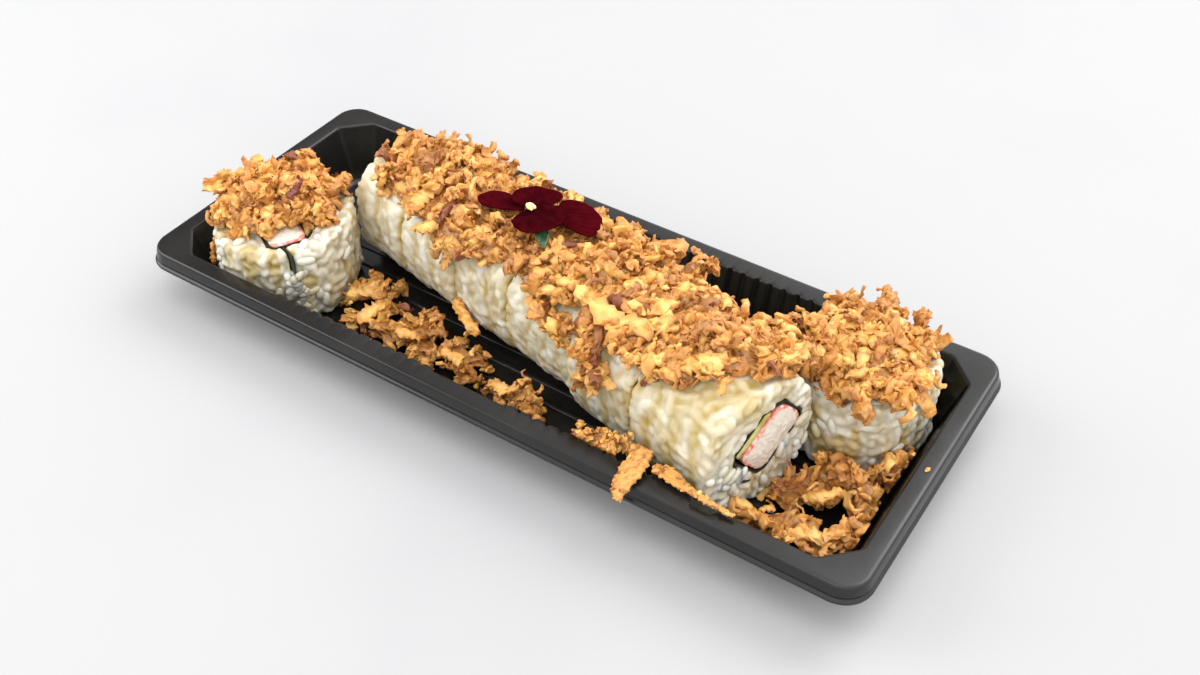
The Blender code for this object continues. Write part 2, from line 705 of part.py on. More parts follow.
def make_long_heap(mat):
    rings = []
    first, last = HEAP_ENDS
    for k in range(HEAP_RINGS):
        s = first + (last - first) * k / (HEAP_RINGS - 1)
        near, far, thick = between(NEAR_EDGE, s), between(FAR_EDGE, s), between(THICKNESS, s)
        bulge = between(FAR_BULGE, s)
        ring = []
        for m in range(7):
            angle = near + (far - near) * m / 6
            lift = thick * (0.2 if m in (0, 6) else 0.5) + bulge * 0.45 * (m / 6) * (0.5 if m == 6 else 1.0)
            ring.append(on_roll(s, angle, lift))
        for m in range(4):
            angle = far + (near - far) * m / 3
            ring.append(on_roll(s, angle * 0.9, -4.0))
        rings.append(ring)
    heap = body("onion_heap", *loft(rings), mat)
    rng = random.Random(8)
    pieces = []
    for k in range(CHIP_ROWS):
        s = first + 1.5 + (last - first - 2.5) * k / (CHIP_ROWS - 1) + rng.uniform(-1, 1)
        near, far, thick = between(NEAR_EDGE, s), between(FAR_EDGE, s), between(THICKNESS, s)
        arc = math.radians(abs(far - near)) * (ROLL_HALF + thick)
        count = max(2, round(arc / CHIP_APART))
        for m in range(count):
            share = (m + rng.uniform(0.2, 0.8)) / count
            lift = thick * (0.3 + 0.6 * math.sin(math.pi * share)) + between(FAR_BULGE, s) * share
            at = on_roll(s + rng.uniform(-1.5, 1.5), near + (far - near) * share,
                         max(0.5, lift + rng.uniform(-0.9, 0.7)))
            pieces.append(crag(at, rng.uniform(*CHIP_SIZES), rng, rng.uniform(1.0, 1.4)))
    for s, angle, size in HANGING:
        pieces.append(crag(on_roll(s, angle, 1.2), size, rng, 1.3))
    boolean(heap, pieces, "UNION")
    room = body("room", *prism(grown(DIVIDE[::-1], GAP / 2), -5.0, 80.0))
    flower = body("flower_room", *prism(FLOWER_ROOM, 41.1, 80.0))
    boolean(heap, roll_cutters() + [room, flower], "DIFFERENCE")
    boolean(heap, [room_in_tray()], "INTERSECT")
    keep_largest(heap)


def make_end_heap(name, spec, power, shift, thick, count, seed, mat):
    """A mound over a standing piece: a low core and flakes over it and over its edge."""
    x, y, half, turn = spec
    x, y = x + shift[0], y + shift[1]
    rings = []
    for scale, level in MOUND:
        outline = roll_outline(half * scale, half * scale, 12, power)
        rings.append([(px, py, END_HEIGHT + thick * level) for px, py in outline])
    heap = body(name, *loft(rings), mat, False, standing(x, y, turn))
    rng = random.Random(seed)
    pieces = []
    for k in range(count):
        radius = half * math.sqrt((k + 0.5) / count)
        t = k * 2.39996 + rng.uniform(-0.4, 0.4)
        drop = thick * (1 - 0.68 * (radius / half) ** 2)
        at = (x + radius * math.cos(t), y + radius * math.sin(t),
              FLOOR + END_HEIGHT + max(0.2, drop) + rng.uniform(-0.6, 0.6))
        pieces.append(crag(at, rng.uniform(*CHIP_SIZES), rng, rng.uniform(1.0, 1.3)))
    boolean(heap, pieces, "UNION")
    return heap


def make_heaps(mats):
    mat = mats["onion"]
    make_long_heap(mat)
    right = make_end_heap("onion_right", RIGHT_END, 2.4, (-1.5, -0.3), 8.4, 27, 11, mat)
    inside = body("inside", *prism(grown(DIVIDE[::-1], -GAP / 2), -5.0, 80.0))
    boolean(right, [inside], "INTERSECT")
    boolean(right, [end_cutter(RIGHT_END, 2.4)] + roll_cutters(), "DIFFERENCE")
    boolean(right, [room_in_tray()], "INTERSECT")
    keep_largest(right)
    left = make_end_heap("onion_left", LEFT_END, 2.3, (-2.6, 0.8), 7.4, 26, 23, mat)
    bare = body("bare", *prism(BARE_SHOULDER, -5.0, 80.0))
    boolean(left, [end_cutter(LEFT_END, 2.3), bare] + roll_cutters(), "DIFFERENCE")
    boolean(left, [room_in_tray()], "INTERSECT")
    keep_largest(left)
    pile("onion_trough_1", TROUGH_1, mat, (5.5, 7.5), 31, roll_cutters() + [end_cutter(LEFT_END, 2.3)])
    pile("onion_trough_2", TROUGH_2, mat, (5.0, 7.0), 33, roll_cutters())
    pile("onion_corner", CORNER, mat, (5.0, 7.5), 34, roll_cutters() + [end_cutter(RIGHT_END, 2.4)])
    pile("onion_front", FRONT_CHAIN, mat, (5.0, 6.5), 35, roll_cutters())
    shard("onion_rim_flake", RIM_FLAKE, 1.0, mat)
    shard("onion_rim_strip", RIM_STRIP, 0.8, mat)
    shard("onion_left_flake", LEFT_FLAKE, 0.9, mat, (1.0, 0.85, 0.3))


# Viola


def smooth_loop(points, times=2):
    """A closed outline with points added on a smooth curve through the given ones."""
    out = []
    count = len(points)
    for i in range(count):
        p0, p1, p2, p3 = (Vector(points[(i + k) % count]) for k in (-1, 0, 1, 2))
        for k in range(times):
            u = k / times
            out.append(tuple(0.5 * (2 * p1 + (p2 - p0) * u + (2 * p0 - 5 * p1 + 4 * p2 - p3) * u * u
                                    + (3 * p1 - p0 - 3 * p2 + p3) * u ** 3)))
    return out


def make_petal(name, level, droop, outline, phase, mat):
    """A thin wavy leaf: the same triangles on both faces."""
    edge = smooth_loop(outline)
    count = len(edge)
    middle = Vector((sum(p[0] for p in edge) / count, sum(p[1] for p in edge) / count))
    inner = [tuple(middle + (Vector(p) - middle) * 0.55) for p in edge]
    flat = edge + inner + [tuple(middle)]
    top = []
    for k, (x, y) in enumerate(flat):
        away = math.hypot(x - HEART[0], y - HEART[1])
        turn = math.atan2(y - HEART[1], x - HEART[0])
        wave = 0.35 * math.sin(5 * turn + phase) * min(1.0, away / 14) ** 2
        cup = 0.0 if k < count else (-0.25 if k < 2 * count else -0.35)
        top.append((x, y, level - droop * away + wave + cup + PETAL / 2))
    points = top + [(x, y, z - PETAL) for x, y, z in top]
    shift = len(flat)
    faces = []
    for i in range(count):
        j = (i + 1) % count
        faces += [(i, j, count + j), (i, count + j, count + i), (count + i, count + j, 2 * count)]
        faces += [(i, shift + i, shift + j), (i, shift + j, j)]
    faces += [(a + shift, c + shift, b + shift) for a, b, c in
              [f for n, f in enumerate(faces) if n % 5 < 3]]
    return body(name, points, faces, mat, True)


def make_viola(mats):
    for n, (name, (level, droop, outline)) in enumerate(PETALS.items()):
        make_petal(name, level, droop, outline, 1.3 * n, mats["petal"])
    x, y = HEART
    rings = []
    for radius, z in HEART_RINGS:
        rings.append([(x + radius * math.cos(math.pi * k / 4), y + radius * math.sin(math.pi * k / 4), z)
                      for k in range(8)])
    body("viola_heart", *loft(rings), mats["heart"], True)
    shard("viola_sepal", SEPAL, 0.6, mats["stem"])


def main():
    clear_scene()
    mats = {
        "tray": paint("black_plastic", (0.012, 0.011, 0.011), 0.32),
        "rice": paint("rice", (0.82, 0.79, 0.68), 0.5),
        "nori": paint("seaweed", (0.012, 0.02, 0.012), 0.5),
        "surimi": paint("crab_stick", (0.92, 0.55, 0.5), 0.45),
        "avocado": paint("avocado", (0.35, 0.42, 0.1), 0.5),
        "onion": paint("fried_onion", (0.62, 0.3, 0.08), 0.6),
        "petal": paint("viola_petal", (0.1, 0.003, 0.015), 0.5),
        "heart": paint("viola_heart", (0.85, 0.75, 0.35), 0.5),
        "stem": paint("viola_stem", (0.05, 0.12, 0.03), 0.5),
    }
    make_tray(mats["tray"])
    make_slices(mats)
    make_ends(mats)
    make_heaps(mats)
    make_viola(mats)


main()
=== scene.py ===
"""Looks of a takeaway sushi tray: inside-out roll, crispy onions and a viola in a black pressed tray."""

import math

import bmesh
import bpy
import numpy as np
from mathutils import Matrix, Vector, noise
from mathutils.bvhtree import BVHTree
from mathutils.kdtree import KDTree


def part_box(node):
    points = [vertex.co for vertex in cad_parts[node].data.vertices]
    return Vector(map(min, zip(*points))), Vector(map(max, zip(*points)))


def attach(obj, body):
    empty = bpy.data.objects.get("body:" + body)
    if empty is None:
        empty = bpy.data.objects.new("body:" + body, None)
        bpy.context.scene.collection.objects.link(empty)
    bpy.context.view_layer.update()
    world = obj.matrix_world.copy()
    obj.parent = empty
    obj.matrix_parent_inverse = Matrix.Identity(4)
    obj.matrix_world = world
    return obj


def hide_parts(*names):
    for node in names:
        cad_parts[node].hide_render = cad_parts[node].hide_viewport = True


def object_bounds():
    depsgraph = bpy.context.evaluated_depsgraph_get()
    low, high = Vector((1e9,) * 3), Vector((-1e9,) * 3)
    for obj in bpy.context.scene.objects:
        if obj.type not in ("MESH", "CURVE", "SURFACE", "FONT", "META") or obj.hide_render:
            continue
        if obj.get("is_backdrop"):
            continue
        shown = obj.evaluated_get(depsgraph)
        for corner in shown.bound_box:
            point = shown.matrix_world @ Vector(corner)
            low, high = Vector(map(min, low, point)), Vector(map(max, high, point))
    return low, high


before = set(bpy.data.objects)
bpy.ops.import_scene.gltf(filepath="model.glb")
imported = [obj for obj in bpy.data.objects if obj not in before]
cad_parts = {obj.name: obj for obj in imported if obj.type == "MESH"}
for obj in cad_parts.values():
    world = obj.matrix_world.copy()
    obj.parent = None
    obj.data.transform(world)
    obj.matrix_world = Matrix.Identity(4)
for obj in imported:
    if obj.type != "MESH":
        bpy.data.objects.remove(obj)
cad_low, cad_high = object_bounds()

# Tray: one sheet of black plastic, pressed hot over a mould, so that every edge is a little
# round. Its long walls are fluted, its corners are cut inside, and low ribs stiffen the floor.
MM = 0.001
LIP_OUT = 1.2
LIP_DROP = 4.8
SHEET = 0.7
RIM_R = 6.8
RIM_TO_OPENING = (5.0, 4.86)
OPENING_CUT = 8.0
CUT_GROWTH = 0.59
CUT_FILLET = 1.2
WALL_IN = 5.2
BASE_IN = 7.0
FLUTE_PITCH = 4.2
FLUTE_DEPTH = 1.0
FLUTE_START = 11.6
FLUTES = 13
NOTCH = (66.3, 72.8, 3.0)
FLUTE_STEP = 0.5
FLUTED_PART = 75.0
RIB_ROWS = (-18.9, -12.6, -6.3, 0.0, 6.3, 12.6, 18.9)
RIB_HALF_X = 79.0
RIB_HALF_WIDTH = 1.1
RIB_HEIGHT = 0.6

_, tray_high = (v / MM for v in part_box("tray"))
RIM_X, RIM_Y, RIM_Z = tray_high.x - LIP_OUT, tray_high.y - LIP_OUT, tray_high.z
OPEN_X, OPEN_Y = RIM_X - RIM_TO_OPENING[0], RIM_Y - RIM_TO_OPENING[1]


def ease(x):
    """A smooth step from 0 to 1."""
    x = np.clip(x, 0.0, 1.0)
    return x * x * (3 - 2 * x)


def flute_at(x):
    """How far the fluted wall stands in at a place along it, as a share."""
    along = abs(x) - FLUTE_START
    if not 0 < along < FLUTES * FLUTE_PITCH:
        return 0.0
    place = along % FLUTE_PITCH
    return float(ease(place / 0.9) * ease((FLUTE_PITCH - place) / 1.3))


def notch_at(x):
    """How far the notch cuts into the near rim at a place along it."""
    start, end, depth = NOTCH
    return depth * float(ease((x - start + 0.4) / 1.0) * ease((end + 0.4 - x) / 1.6))


def corner_arc(half_x, half_y, radius):
    """A quarter round at the corner, in as many points as the straight cut has."""
    turns = [math.radians(90 * k / 11) for k in range(12)]
    return [(half_x - radius + radius * math.cos(t), half_y - radius + radius * math.sin(t)) for t in turns]


def corner_cut(half_x, half_y, cut):
    """A straight cut across the corner, a little round where it meets the walls."""
    f, g = CUT_FILLET, CUT_FILLET * math.sqrt(0.5)
    out = []
    for a, b, c in (((half_x, half_y - cut - f), (half_x, half_y - cut), (half_x - g, half_y - cut + g)),
                    ((half_x - cut + g, half_y - g), (half_x - cut, half_y), (half_x - cut - f, half_y))):
        for k in range(6):
            t = k / 5
            out.append(tuple((1 - t) ** 2 * p + 2 * t * (1 - t) * q + t * t * r for p, q, r in zip(a, b, c)))
    return out


def wall_places(end):
    """Places along a long wall from one corner to the other, close together where it is fluted."""
    outer = [end + (FLUTED_PART - end) * k / 8 for k in range(1, 8)]
    count = round(2 * FLUTED_PART / FLUTE_STEP)
    inner = [FLUTED_PART - FLUTE_STEP * k for k in range(count + 1)]
    return outer + inner + [-x for x in reversed(outer)]


def ring_round(corner, half_x, half_y, z, fluted=0.0, notched=0.0):
    """A closed ring of the tray from its corner outline, always with the same number of points."""
    turn_x, turn_y = corner[-1][0], corner[0][1]
    side = [turn_y * (k / 12 - 1) for k in range(1, 24)]
    ring = [(half_x, y, z) for y in side]
    ring += [(x, y, z) for x, y in corner]
    ring += [(x, half_y - fluted * FLUTE_DEPTH * flute_at(x), z) for x in wall_places(turn_x)]
    ring += [(-x, y, z) for x, y in corner[::-1]]
    ring += [(-half_x, -y, z) for y in side]
    ring += [(-x, -y, z) for x, y in corner]
    ring += [(-x, -half_y + fluted * FLUTE_DEPTH * flute_at(x) - notched * notch_at(-x), z)
             for x in wall_places(turn_x)]
    ring += [(x, -y, z) for x, y in corner[::-1]]
    return ring


def opening_ring(grow, z, fluted=0.0, notched=0.0):
    half_x, half_y = OPEN_X + grow, OPEN_Y + grow
    corner = corner_cut(half_x, half_y, OPENING_CUT + CUT_GROWTH * grow)
    return ring_round(corner, half_x, half_y, z, fluted, notched)


def rim_ring(out, drop):
    half_x, half_y = RIM_X + out, RIM_Y + out
    return ring_round(corner_arc(half_x, half_y, RIM_R + out), half_x, half_y, RIM_Z - drop)


def skin(rings, first_point=0):
    """Quads between rings of equal counts, and a cap over each end."""
    count = len(rings[0])
    faces = []
    for r in range(len(rings) - 1):
        for i in range(count):
            j = (i + 1) % count
            a, b = first_point + r * count + i, first_point + r * count + j
            faces.append((a, b, b + count, a + count))
    last = first_point + (len(rings) - 1) * count
    faces.append(tuple(range(first_point, first_point + count))[::-1])
    faces.append(tuple(range(last, last + count)))
    return faces


def make_piece(name, points, faces, material, replaced=(), sharp=None):
    """A mesh from millimetres that rides on the part, smooth but for edges sharper than an angle."""
    mesh = bpy.data.meshes.new(name)
    mesh.from_pydata(np.asarray(points, float) * MM, [], faces)
    bm = bmesh.new()
    bm.from_mesh(mesh)
    bmesh.ops.recalc_face_normals(bm, faces=bm.faces)
    bm.to_mesh(mesh)
    bm.free()
    mesh.shade_smooth()
    if sharp is not None:
        mesh.set_sharp_from_angle(angle=math.radians(sharp))
    mesh.materials.append(material)
    obj = bpy.data.objects.new(name, mesh)
    bpy.context.scene.collection.objects.link(obj)
    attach(obj, "root")
    if replaced:
        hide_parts(*replaced)
    return obj


def speckle_group():
    """Uneven patches: noise between two values, as a mask and as a height."""
    group = bpy.data.node_groups.new("uneven_patches", "ShaderNodeTree")
    for name, start in (("Scale", 200.0), ("Detail", 4.0), ("From", 0.4), ("To", 0.6)):
        socket = group.interface.new_socket(name, in_out="INPUT", socket_type="NodeSocketFloat")
        socket.default_value = start
    group.interface.new_socket("Mask", in_out="OUTPUT", socket_type="NodeSocketFloat")
    group.interface.new_socket("Height", in_out="OUTPUT", socket_type="NodeSocketFloat")
    nodes, links = group.nodes, group.links
    given, result = nodes.new("NodeGroupInput"), nodes.new("NodeGroupOutput")
    place = nodes.new("ShaderNodeTexCoord")
    grain = nodes.new("ShaderNodeTexNoise")
    spread = nodes.new("ShaderNodeMapRange")
    spread.interpolation_type = "SMOOTHSTEP"
    for source, value, target, socket in (
            (place, "Object", grain, "Vector"), (given, "Scale", grain, "Scale"),
            (given, "Detail", grain, "Detail"), (grain, "Fac", spread, "Value"),
            (given, "From", spread, "From Min"), (given, "To", spread, "From Max"),
            (spread, "Result", result, "Mask"), (grain, "Fac", result, "Height")):
        links.new(source.outputs[value], target.inputs[socket])
    return group


uneven_patches = speckle_group()


class Finish:
    """A material being put together: its shader, its patches and its mixes."""

    def __init__(self, name, rough, **constants):
        self.material = bpy.data.materials.new(name)
        self.material.use_nodes = True
        self.nodes = self.material.node_tree.nodes
        self.links = self.material.node_tree.links
        self.shader = self.nodes["Principled BSDF"]
        self.shader.inputs["Roughness"].default_value = rough
        for key, value in constants.items():
            self.shader.inputs[key.replace("_", " ")].default_value = value

    def patches(self, scale, low, high, detail=4.0):
        node = self.nodes.new("ShaderNodeGroup")
        node.node_tree = uneven_patches
        for key, value in (("Scale", scale), ("Detail", detail), ("From", low), ("To", high)):
            node.inputs[key].default_value = value
        return node

    def painted(self, name):
        """The value that the mesh keeps under a name."""
        node = self.nodes.new("ShaderNodeAttribute")
        node.attribute_name = name
        return node.outputs["Fac"]

    def mix(self, share, first, second):
        """One colour laid over another by a share; each is a colour or a socket."""
        node = self.nodes.new("ShaderNodeMix")
        node.data_type = "RGBA"
        self.join(share, node.inputs["Factor"])
        for value, socket in ((first, node.inputs["A"]), (second, node.inputs["B"])):
            self.join(value, socket)
        return node.outputs["Result"]

    def join(self, value, socket):
        if isinstance(value, bpy.types.NodeSocket):
            self.links.new(value, socket)
        else:
            socket.default_value = (*value, 1.0) if isinstance(value, tuple) else value

    def spread(self, value, low, high):
        """A value brought from 0..1 to a range, for a roughness or a height."""
        node = self.nodes.new("ShaderNodeMapRange")
        self.join(value, node.inputs["Value"])
        node.inputs["To Min"].default_value = low
        node.inputs["To Max"].default_value = high
        return node.outputs["Result"]

    def maths(self, kind, first, second):
        node = self.nodes.new("ShaderNodeMath")
        node.operation = kind
        node.use_clamp = kind != "ADD"
        self.join(first, node.inputs[0])
        self.join(second, node.inputs[1])
        return node.outputs["Value"]

    def colour(self, value):
        self.join(value, self.shader.inputs["Base Color"])

    def mottled(self, patches, first, second, relief):
        """Two colours in patches, raised a little by the same noise."""
        cloud = self.patches(*patches)
        self.colour(self.mix(cloud.outputs["Mask"], first, second))
        self.relief(cloud.outputs["Height"], *relief)
        return self.material

    def relief(self, height, distance, strength=1.0):
        node = self.nodes.new("ShaderNodeBump")
        node.inputs["Distance"].default_value = distance * MM
        node.inputs["Strength"].default_value = strength
        self.links.new(height, node.inputs["Height"])
        self.links.new(node.outputs["Normal"], self.shader.inputs["Normal"])


def black_plastic():
    finish = Finish("black_plastic", 0.3, Specular_IOR_Level=0.42)
    haze = finish.patches(45.0, 0.35, 0.7)
    fine = finish.patches(1400.0, 0.3, 0.7, 2.0)
    finish.colour(finish.mix(haze.outputs["Mask"], (0.0075, 0.0068, 0.0062), (0.012, 0.011, 0.0105)))
    finish.links.new(finish.spread(haze.outputs["Mask"], 0.2, 0.3), finish.shader.inputs["Roughness"])
    finish.relief(fine.outputs["Height"], 0.03, 0.3)
    return finish.material


TRAY_RINGS = [
    opening_ring(-BASE_IN - 0.3, SHEET),
    opening_ring(-BASE_IN + 0.3, SHEET + 0.15),
    opening_ring(-BASE_IN + 1.1, SHEET + 0.6, 0.4),
    opening_ring(-WALL_IN, SHEET + 1.5, 0.8),
]
for step in range(1, 7):
    rise = step / 6
    inset = -WALL_IN + (WALL_IN - 0.4) * rise
    TRAY_RINGS.append(opening_ring(inset, SHEET + 1.5 + 15.5 * rise, 0.8 + 0.2 * rise))
TRAY_RINGS += [
    opening_ring(-0.32, RIM_Z - 0.6, 1.0, 0.45),
    opening_ring(-0.15, RIM_Z - 0.25, 1.0, 0.8),
    opening_ring(0.15, RIM_Z - 0.06, 1.0, 0.97),
    opening_ring(0.6, RIM_Z, 0.9, 1.0),
    rim_ring(-1.2, 0.0), rim_ring(-0.6, 0.03), rim_ring(-0.22, 0.16), rim_ring(0.0, 0.5), rim_ring(0.12, 1.0),
    rim_ring(0.34, 1.9), rim_ring(0.55, 2.7), rim_ring(0.56, 3.0), rim_ring(0.42, 3.3), rim_ring(0.38, 3.55),
    rim_ring(0.55, 3.8), rim_ring(0.95, 3.95), rim_ring(1.17, 4.15), rim_ring(LIP_OUT, 4.45),
    rim_ring(LIP_OUT - 0.1, LIP_DROP), rim_ring(-0.3, LIP_DROP), rim_ring(-0.5, 3.0), rim_ring(-0.8, SHEET),
    opening_ring(SHEET, RIM_Z - SHEET, 0.0, 0.93),
    opening_ring(SHEET - 0.25, RIM_Z - 2.0),
    opening_ring(-WALL_IN + SHEET + 0.1, SHEET + 1.7),
    opening_ring(-BASE_IN + SHEET + 0.3, 0.25),
    opening_ring(-BASE_IN + SHEET, 0.0),
]
tray_points = [p for ring in TRAY_RINGS for p in ring]
tray_faces = skin(TRAY_RINGS)
for row in RIB_ROWS:
    stations = [-RIB_HALF_X, -RIB_HALF_X + 0.5] + [-RIB_HALF_X + 2 + 22.0 * k for k in range(8)]
    stations += [RIB_HALF_X - 0.5, RIB_HALF_X]
    rib_rings = []
    for n, x in enumerate(stations):
        tall = 0.2 if n in (0, len(stations) - 1) else 1.0
        turns = [math.pi * k / 8 for k in range(9)]
        ring = [(x, row + RIB_HALF_WIDTH * math.cos(t), SHEET + RIB_HEIGHT * tall * math.sin(t) ** 0.6)
                for t in turns]
        foot = [(x, row + side * RIB_HALF_WIDTH, SHEET - 0.3) for side in (-1, 1)]
        rib_rings.append(ring + foot)
    tray_faces += skin(rib_rings, len(tray_points))
    tray_points += [p for ring in rib_rings for p in ring]
make_piece("tray_shell", tray_points, tray_faces, black_plastic(), ("tray",), 50)


# Rice: cooked short grain, pressed round the filling, so that the long side of the roll is
# nearly smooth and its cut ends and the two standing pieces show sticky lumps of grains. Thin
# golden sauce has run down it in streaks, most of all at the cuts.
RICE_MESH = 0.5
GRAIN_HALF = (2.5, 1.2)
GRAIN_APART = 2.5
GRAIN_RELIEF = 0.95
LUMPS_FINE, LUMPS_HIGH = 0.2, 0.45
SLICE_TURNS = (-12.6, -12.6, -12.6, -12.6, -14.2, -16.5)
ROLL_START = (-67.6, 18.0)
ROLL_MIDDLE_Z = 20.2
ROLL_HALF = 18.6
ROLL_POWER = 2.6
ROLL_TOP = 38.0
THIRD_SLICE = 0.951
GAP_DEPTH = 0.55
GRAIN_BED = 0.3
SIDE_RELIEF = 0.38
FACED_CUT = 0.4
STANDING = 0.6
FOOT_TOP, FOOT_ROUGH = 7.0, 0.6
SMEAR_FROM, SMEARED = 14.0, 0.55
FILLING_REACH = 2.0
LOW_ON_CUT, HIGH_ON_CUT = 13.0, 19.0
DRIP_WANDER = 3.4
DRIPS = (
    # distance along the roll, width, how far down it reaches, strength
    (3.0, 1.8, 0.1, 0.6), (9.5, 1.4, 0.0, 0.9), (15.5, 1.0, 0.35, 0.6), (21.8, 1.6, 0.0, 1.0),
    (29.0, 1.2, 0.1, 0.7), (35.5, 1.4, 0.0, 0.8), (45.0, 1.7, 0.0, 1.0), (52.0, 1.1, 0.3, 0.6),
    (58.5, 1.3, 0.0, 0.85), (66.2, 1.8, 0.0, 1.0), (74.0, 1.4, 0.2, 0.7), (80.5, 1.2, 0.0, 0.8),
    (86.0, 1.3, 0.3, 0.6), (92.2, 1.8, 0.0, 1.0), (99.0, 1.3, 0.1, 0.8), (106.0, 1.5, 0.0, 0.9),
    (111.0, 1.2, 0.3, 0.7), (116.0, 2.0, 0.0, 1.0), (123.0, 1.8, 0.1, 0.9), (130.0, 3.4, 0.0, 0.9),
    (138.0, 2.4, 0.0, 0.9),
)


def each_point(mesh, key):
    """Where a mesh's points are, or which way they face."""
    out = np.empty(len(mesh.vertices) * 3, np.float32)
    mesh.vertices.foreach_get(key, out)
    return out.reshape(-1, 3).astype(float)


def points_of(mesh):
    return each_point(mesh, "co") / MM


def evened(node, voxel, smooth):
    """A node's solid as an even, finer mesh with its facets rubbed round."""
    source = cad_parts[node]
    temporary = bpy.data.objects.new("temporary", source.data.copy())
    bpy.context.scene.collection.objects.link(temporary)
    remesh = temporary.modifiers.new("even", "REMESH")
    remesh.mode = "VOXEL"
    remesh.voxel_size = voxel * MM
    rub = temporary.modifiers.new("rub", "SMOOTH")
    rub.factor = 0.5
    rub.iterations = smooth
    bpy.context.view_layer.update()
    graph = bpy.context.evaluated_depsgraph_get()
    mesh = bpy.data.meshes.new_from_object(temporary.evaluated_get(graph))
    bpy.data.objects.remove(temporary)
    mesh.materials.clear()
    return mesh


def triangles_of(node):
    """The three corners of each triangle of a node's solid."""
    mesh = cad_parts[node].data
    mesh.calc_loop_triangles()
    return points_of(mesh)[np.array([t.vertices for t in mesh.loop_triangles])]


def surface_tree(nodes):
    """A tree that gives the distance from the surfaces of several nodes."""
    corners = np.concatenate([triangles_of(n) for n in nodes])
    flat = corners.reshape(-1, 3)
    faces = np.arange(len(flat)).reshape(-1, 3)
    return BVHTree.FromPolygons(flat.tolist(), faces.tolist())


def distances(tree, points, most):
    """How far each point is from a tree's surfaces, up to the most that matters."""
    out = np.full(len(points), most)
    for i, p in enumerate(points):
        found = tree.find_nearest(Vector(p), most)
        if found[0] is not None:
            out[i] = found[3]
    return out


def spaced(points, apart, rng):
    """Indices of points no nearer to each other than a distance."""
    taken, kept = {}, []
    for i in rng.permutation(len(points)):
        cell = tuple((points[i] // apart).astype(int))
        near = (taken.get((cell[0] + a, cell[1] + b, cell[2] + c)) for a in (-1, 0, 1) for b in (-1, 0, 1)
                for c in (-1, 0, 1))
        if all(j is None or np.sum((points[j] - points[i]) ** 2) > apart * apart for j in near):
            taken[cell] = i
            kept.append(i)
    return np.array(kept)


def point_tree(points):
    """A tree that finds the points near a place."""
    tree = KDTree(len(points))
    for i, p in enumerate(points):
        tree.insert(p, i)
    tree.balance()
    return tree


def chance_along(outward, rng):
    """A direction by chance, square to another."""
    along = np.cross(outward, rng.normal(size=3))
    return along / np.linalg.norm(along)


def grain_field(co, normals, rough, rng):
    """Relief of pressed grains: height and grain number at each point, and the grains themselves."""
    height = np.full(len(co), -GAP_DEPTH)
    owner = np.full(len(co), -1)
    tree = point_tree(co)
    grains = []
    for number, i in enumerate(spaced(co, GRAIN_APART, rng)):
        normal = normals[i]
        along = chance_along(normal, rng)
        across = np.cross(normal, along)
        length = GRAIN_HALF[0] * (rng.uniform(0.75, 1.1) if rng.random() < 0.8 else 0.5)
        width = GRAIN_HALF[1] * rng.uniform(0.85, 1.15)
        lift = rng.uniform(-0.4, 0.15)
        grains.append((i, along, length, width, lift))
        near = np.array([f[1] for f in tree.find_range(co[i], length)])
        away = co[near] - co[i]
        inside = (away @ along / length) ** 2 + (away @ across / width) ** 2
        top = lift + GRAIN_RELIEF * np.sqrt(np.clip(1 - inside, 0, 1)) - GRAIN_BED
        better = (inside < 1) & (top > height[near])
        height[near[better]] = top[better]
        owner[near[better]] = number
    return height * (SIDE_RELIEF + (1 - SIDE_RELIEF) * rough), owner, grains


def eased_out(mesh, values, times):
    """Values at a mesh's points, each brought half way to the mean of its neighbours."""
    ends = np.empty(len(mesh.edges) * 2, np.int32)
    mesh.edges.foreach_get("vertices", ends)
    ends = ends.reshape(-1, 2)
    count = np.bincount(ends.ravel(), minlength=len(values))
    for _ in range(times):
        total = np.bincount(ends[:, 0], values[ends[:, 1]], len(values))
        total += np.bincount(ends[:, 1], values[ends[:, 0]], len(values))
        values = 0.5 * values + 0.5 * total / count
    return values


def along_roll(co):
    """Distance along the lying roll of each point from the row's left end, and across it."""
    turn = math.radians(SLICE_TURNS[0])
    x, y = co[:, 0] - ROLL_START[0], co[:, 1] - ROLL_START[1]
    return x * math.cos(turn) + y * math.sin(turn), y * math.cos(turn) - x * math.sin(turn)


def without_flake(co):
    """The third slice without the flake that its solid carries: pressed back to the roll's form."""
    share = THIRD_SLICE
    across = (along_roll(co)[1] + ROLL_HALF * (1 - share)) / share
    up = (co[:, 2] - ROLL_MIDDLE_Z + ROLL_HALF * (1 - share)) / share
    size = (np.abs(across) ** ROLL_POWER + np.abs(up) ** ROLL_POWER) ** (1 / ROLL_POWER)
    over = np.where(size > ROLL_HALF + 0.2, ROLL_HALF / size, 1.0)
    turn = math.radians(SLICE_TURNS[0])
    step = across * (over - 1) * share
    out = co.copy()
    out[:, 0] -= math.sin(turn) * step
    out[:, 1] += math.cos(turn) * step
    out[:, 2] += up * (over - 1) * share
    return out


def soft_noise(points, stretch, shift=(0.0, 0.0, 0.0)):
    """Smooth noise at each point, finer the more its axes are stretched."""
    return np.array([noise.noise(Vector(p)) for p in points * np.array(stretch) + shift])


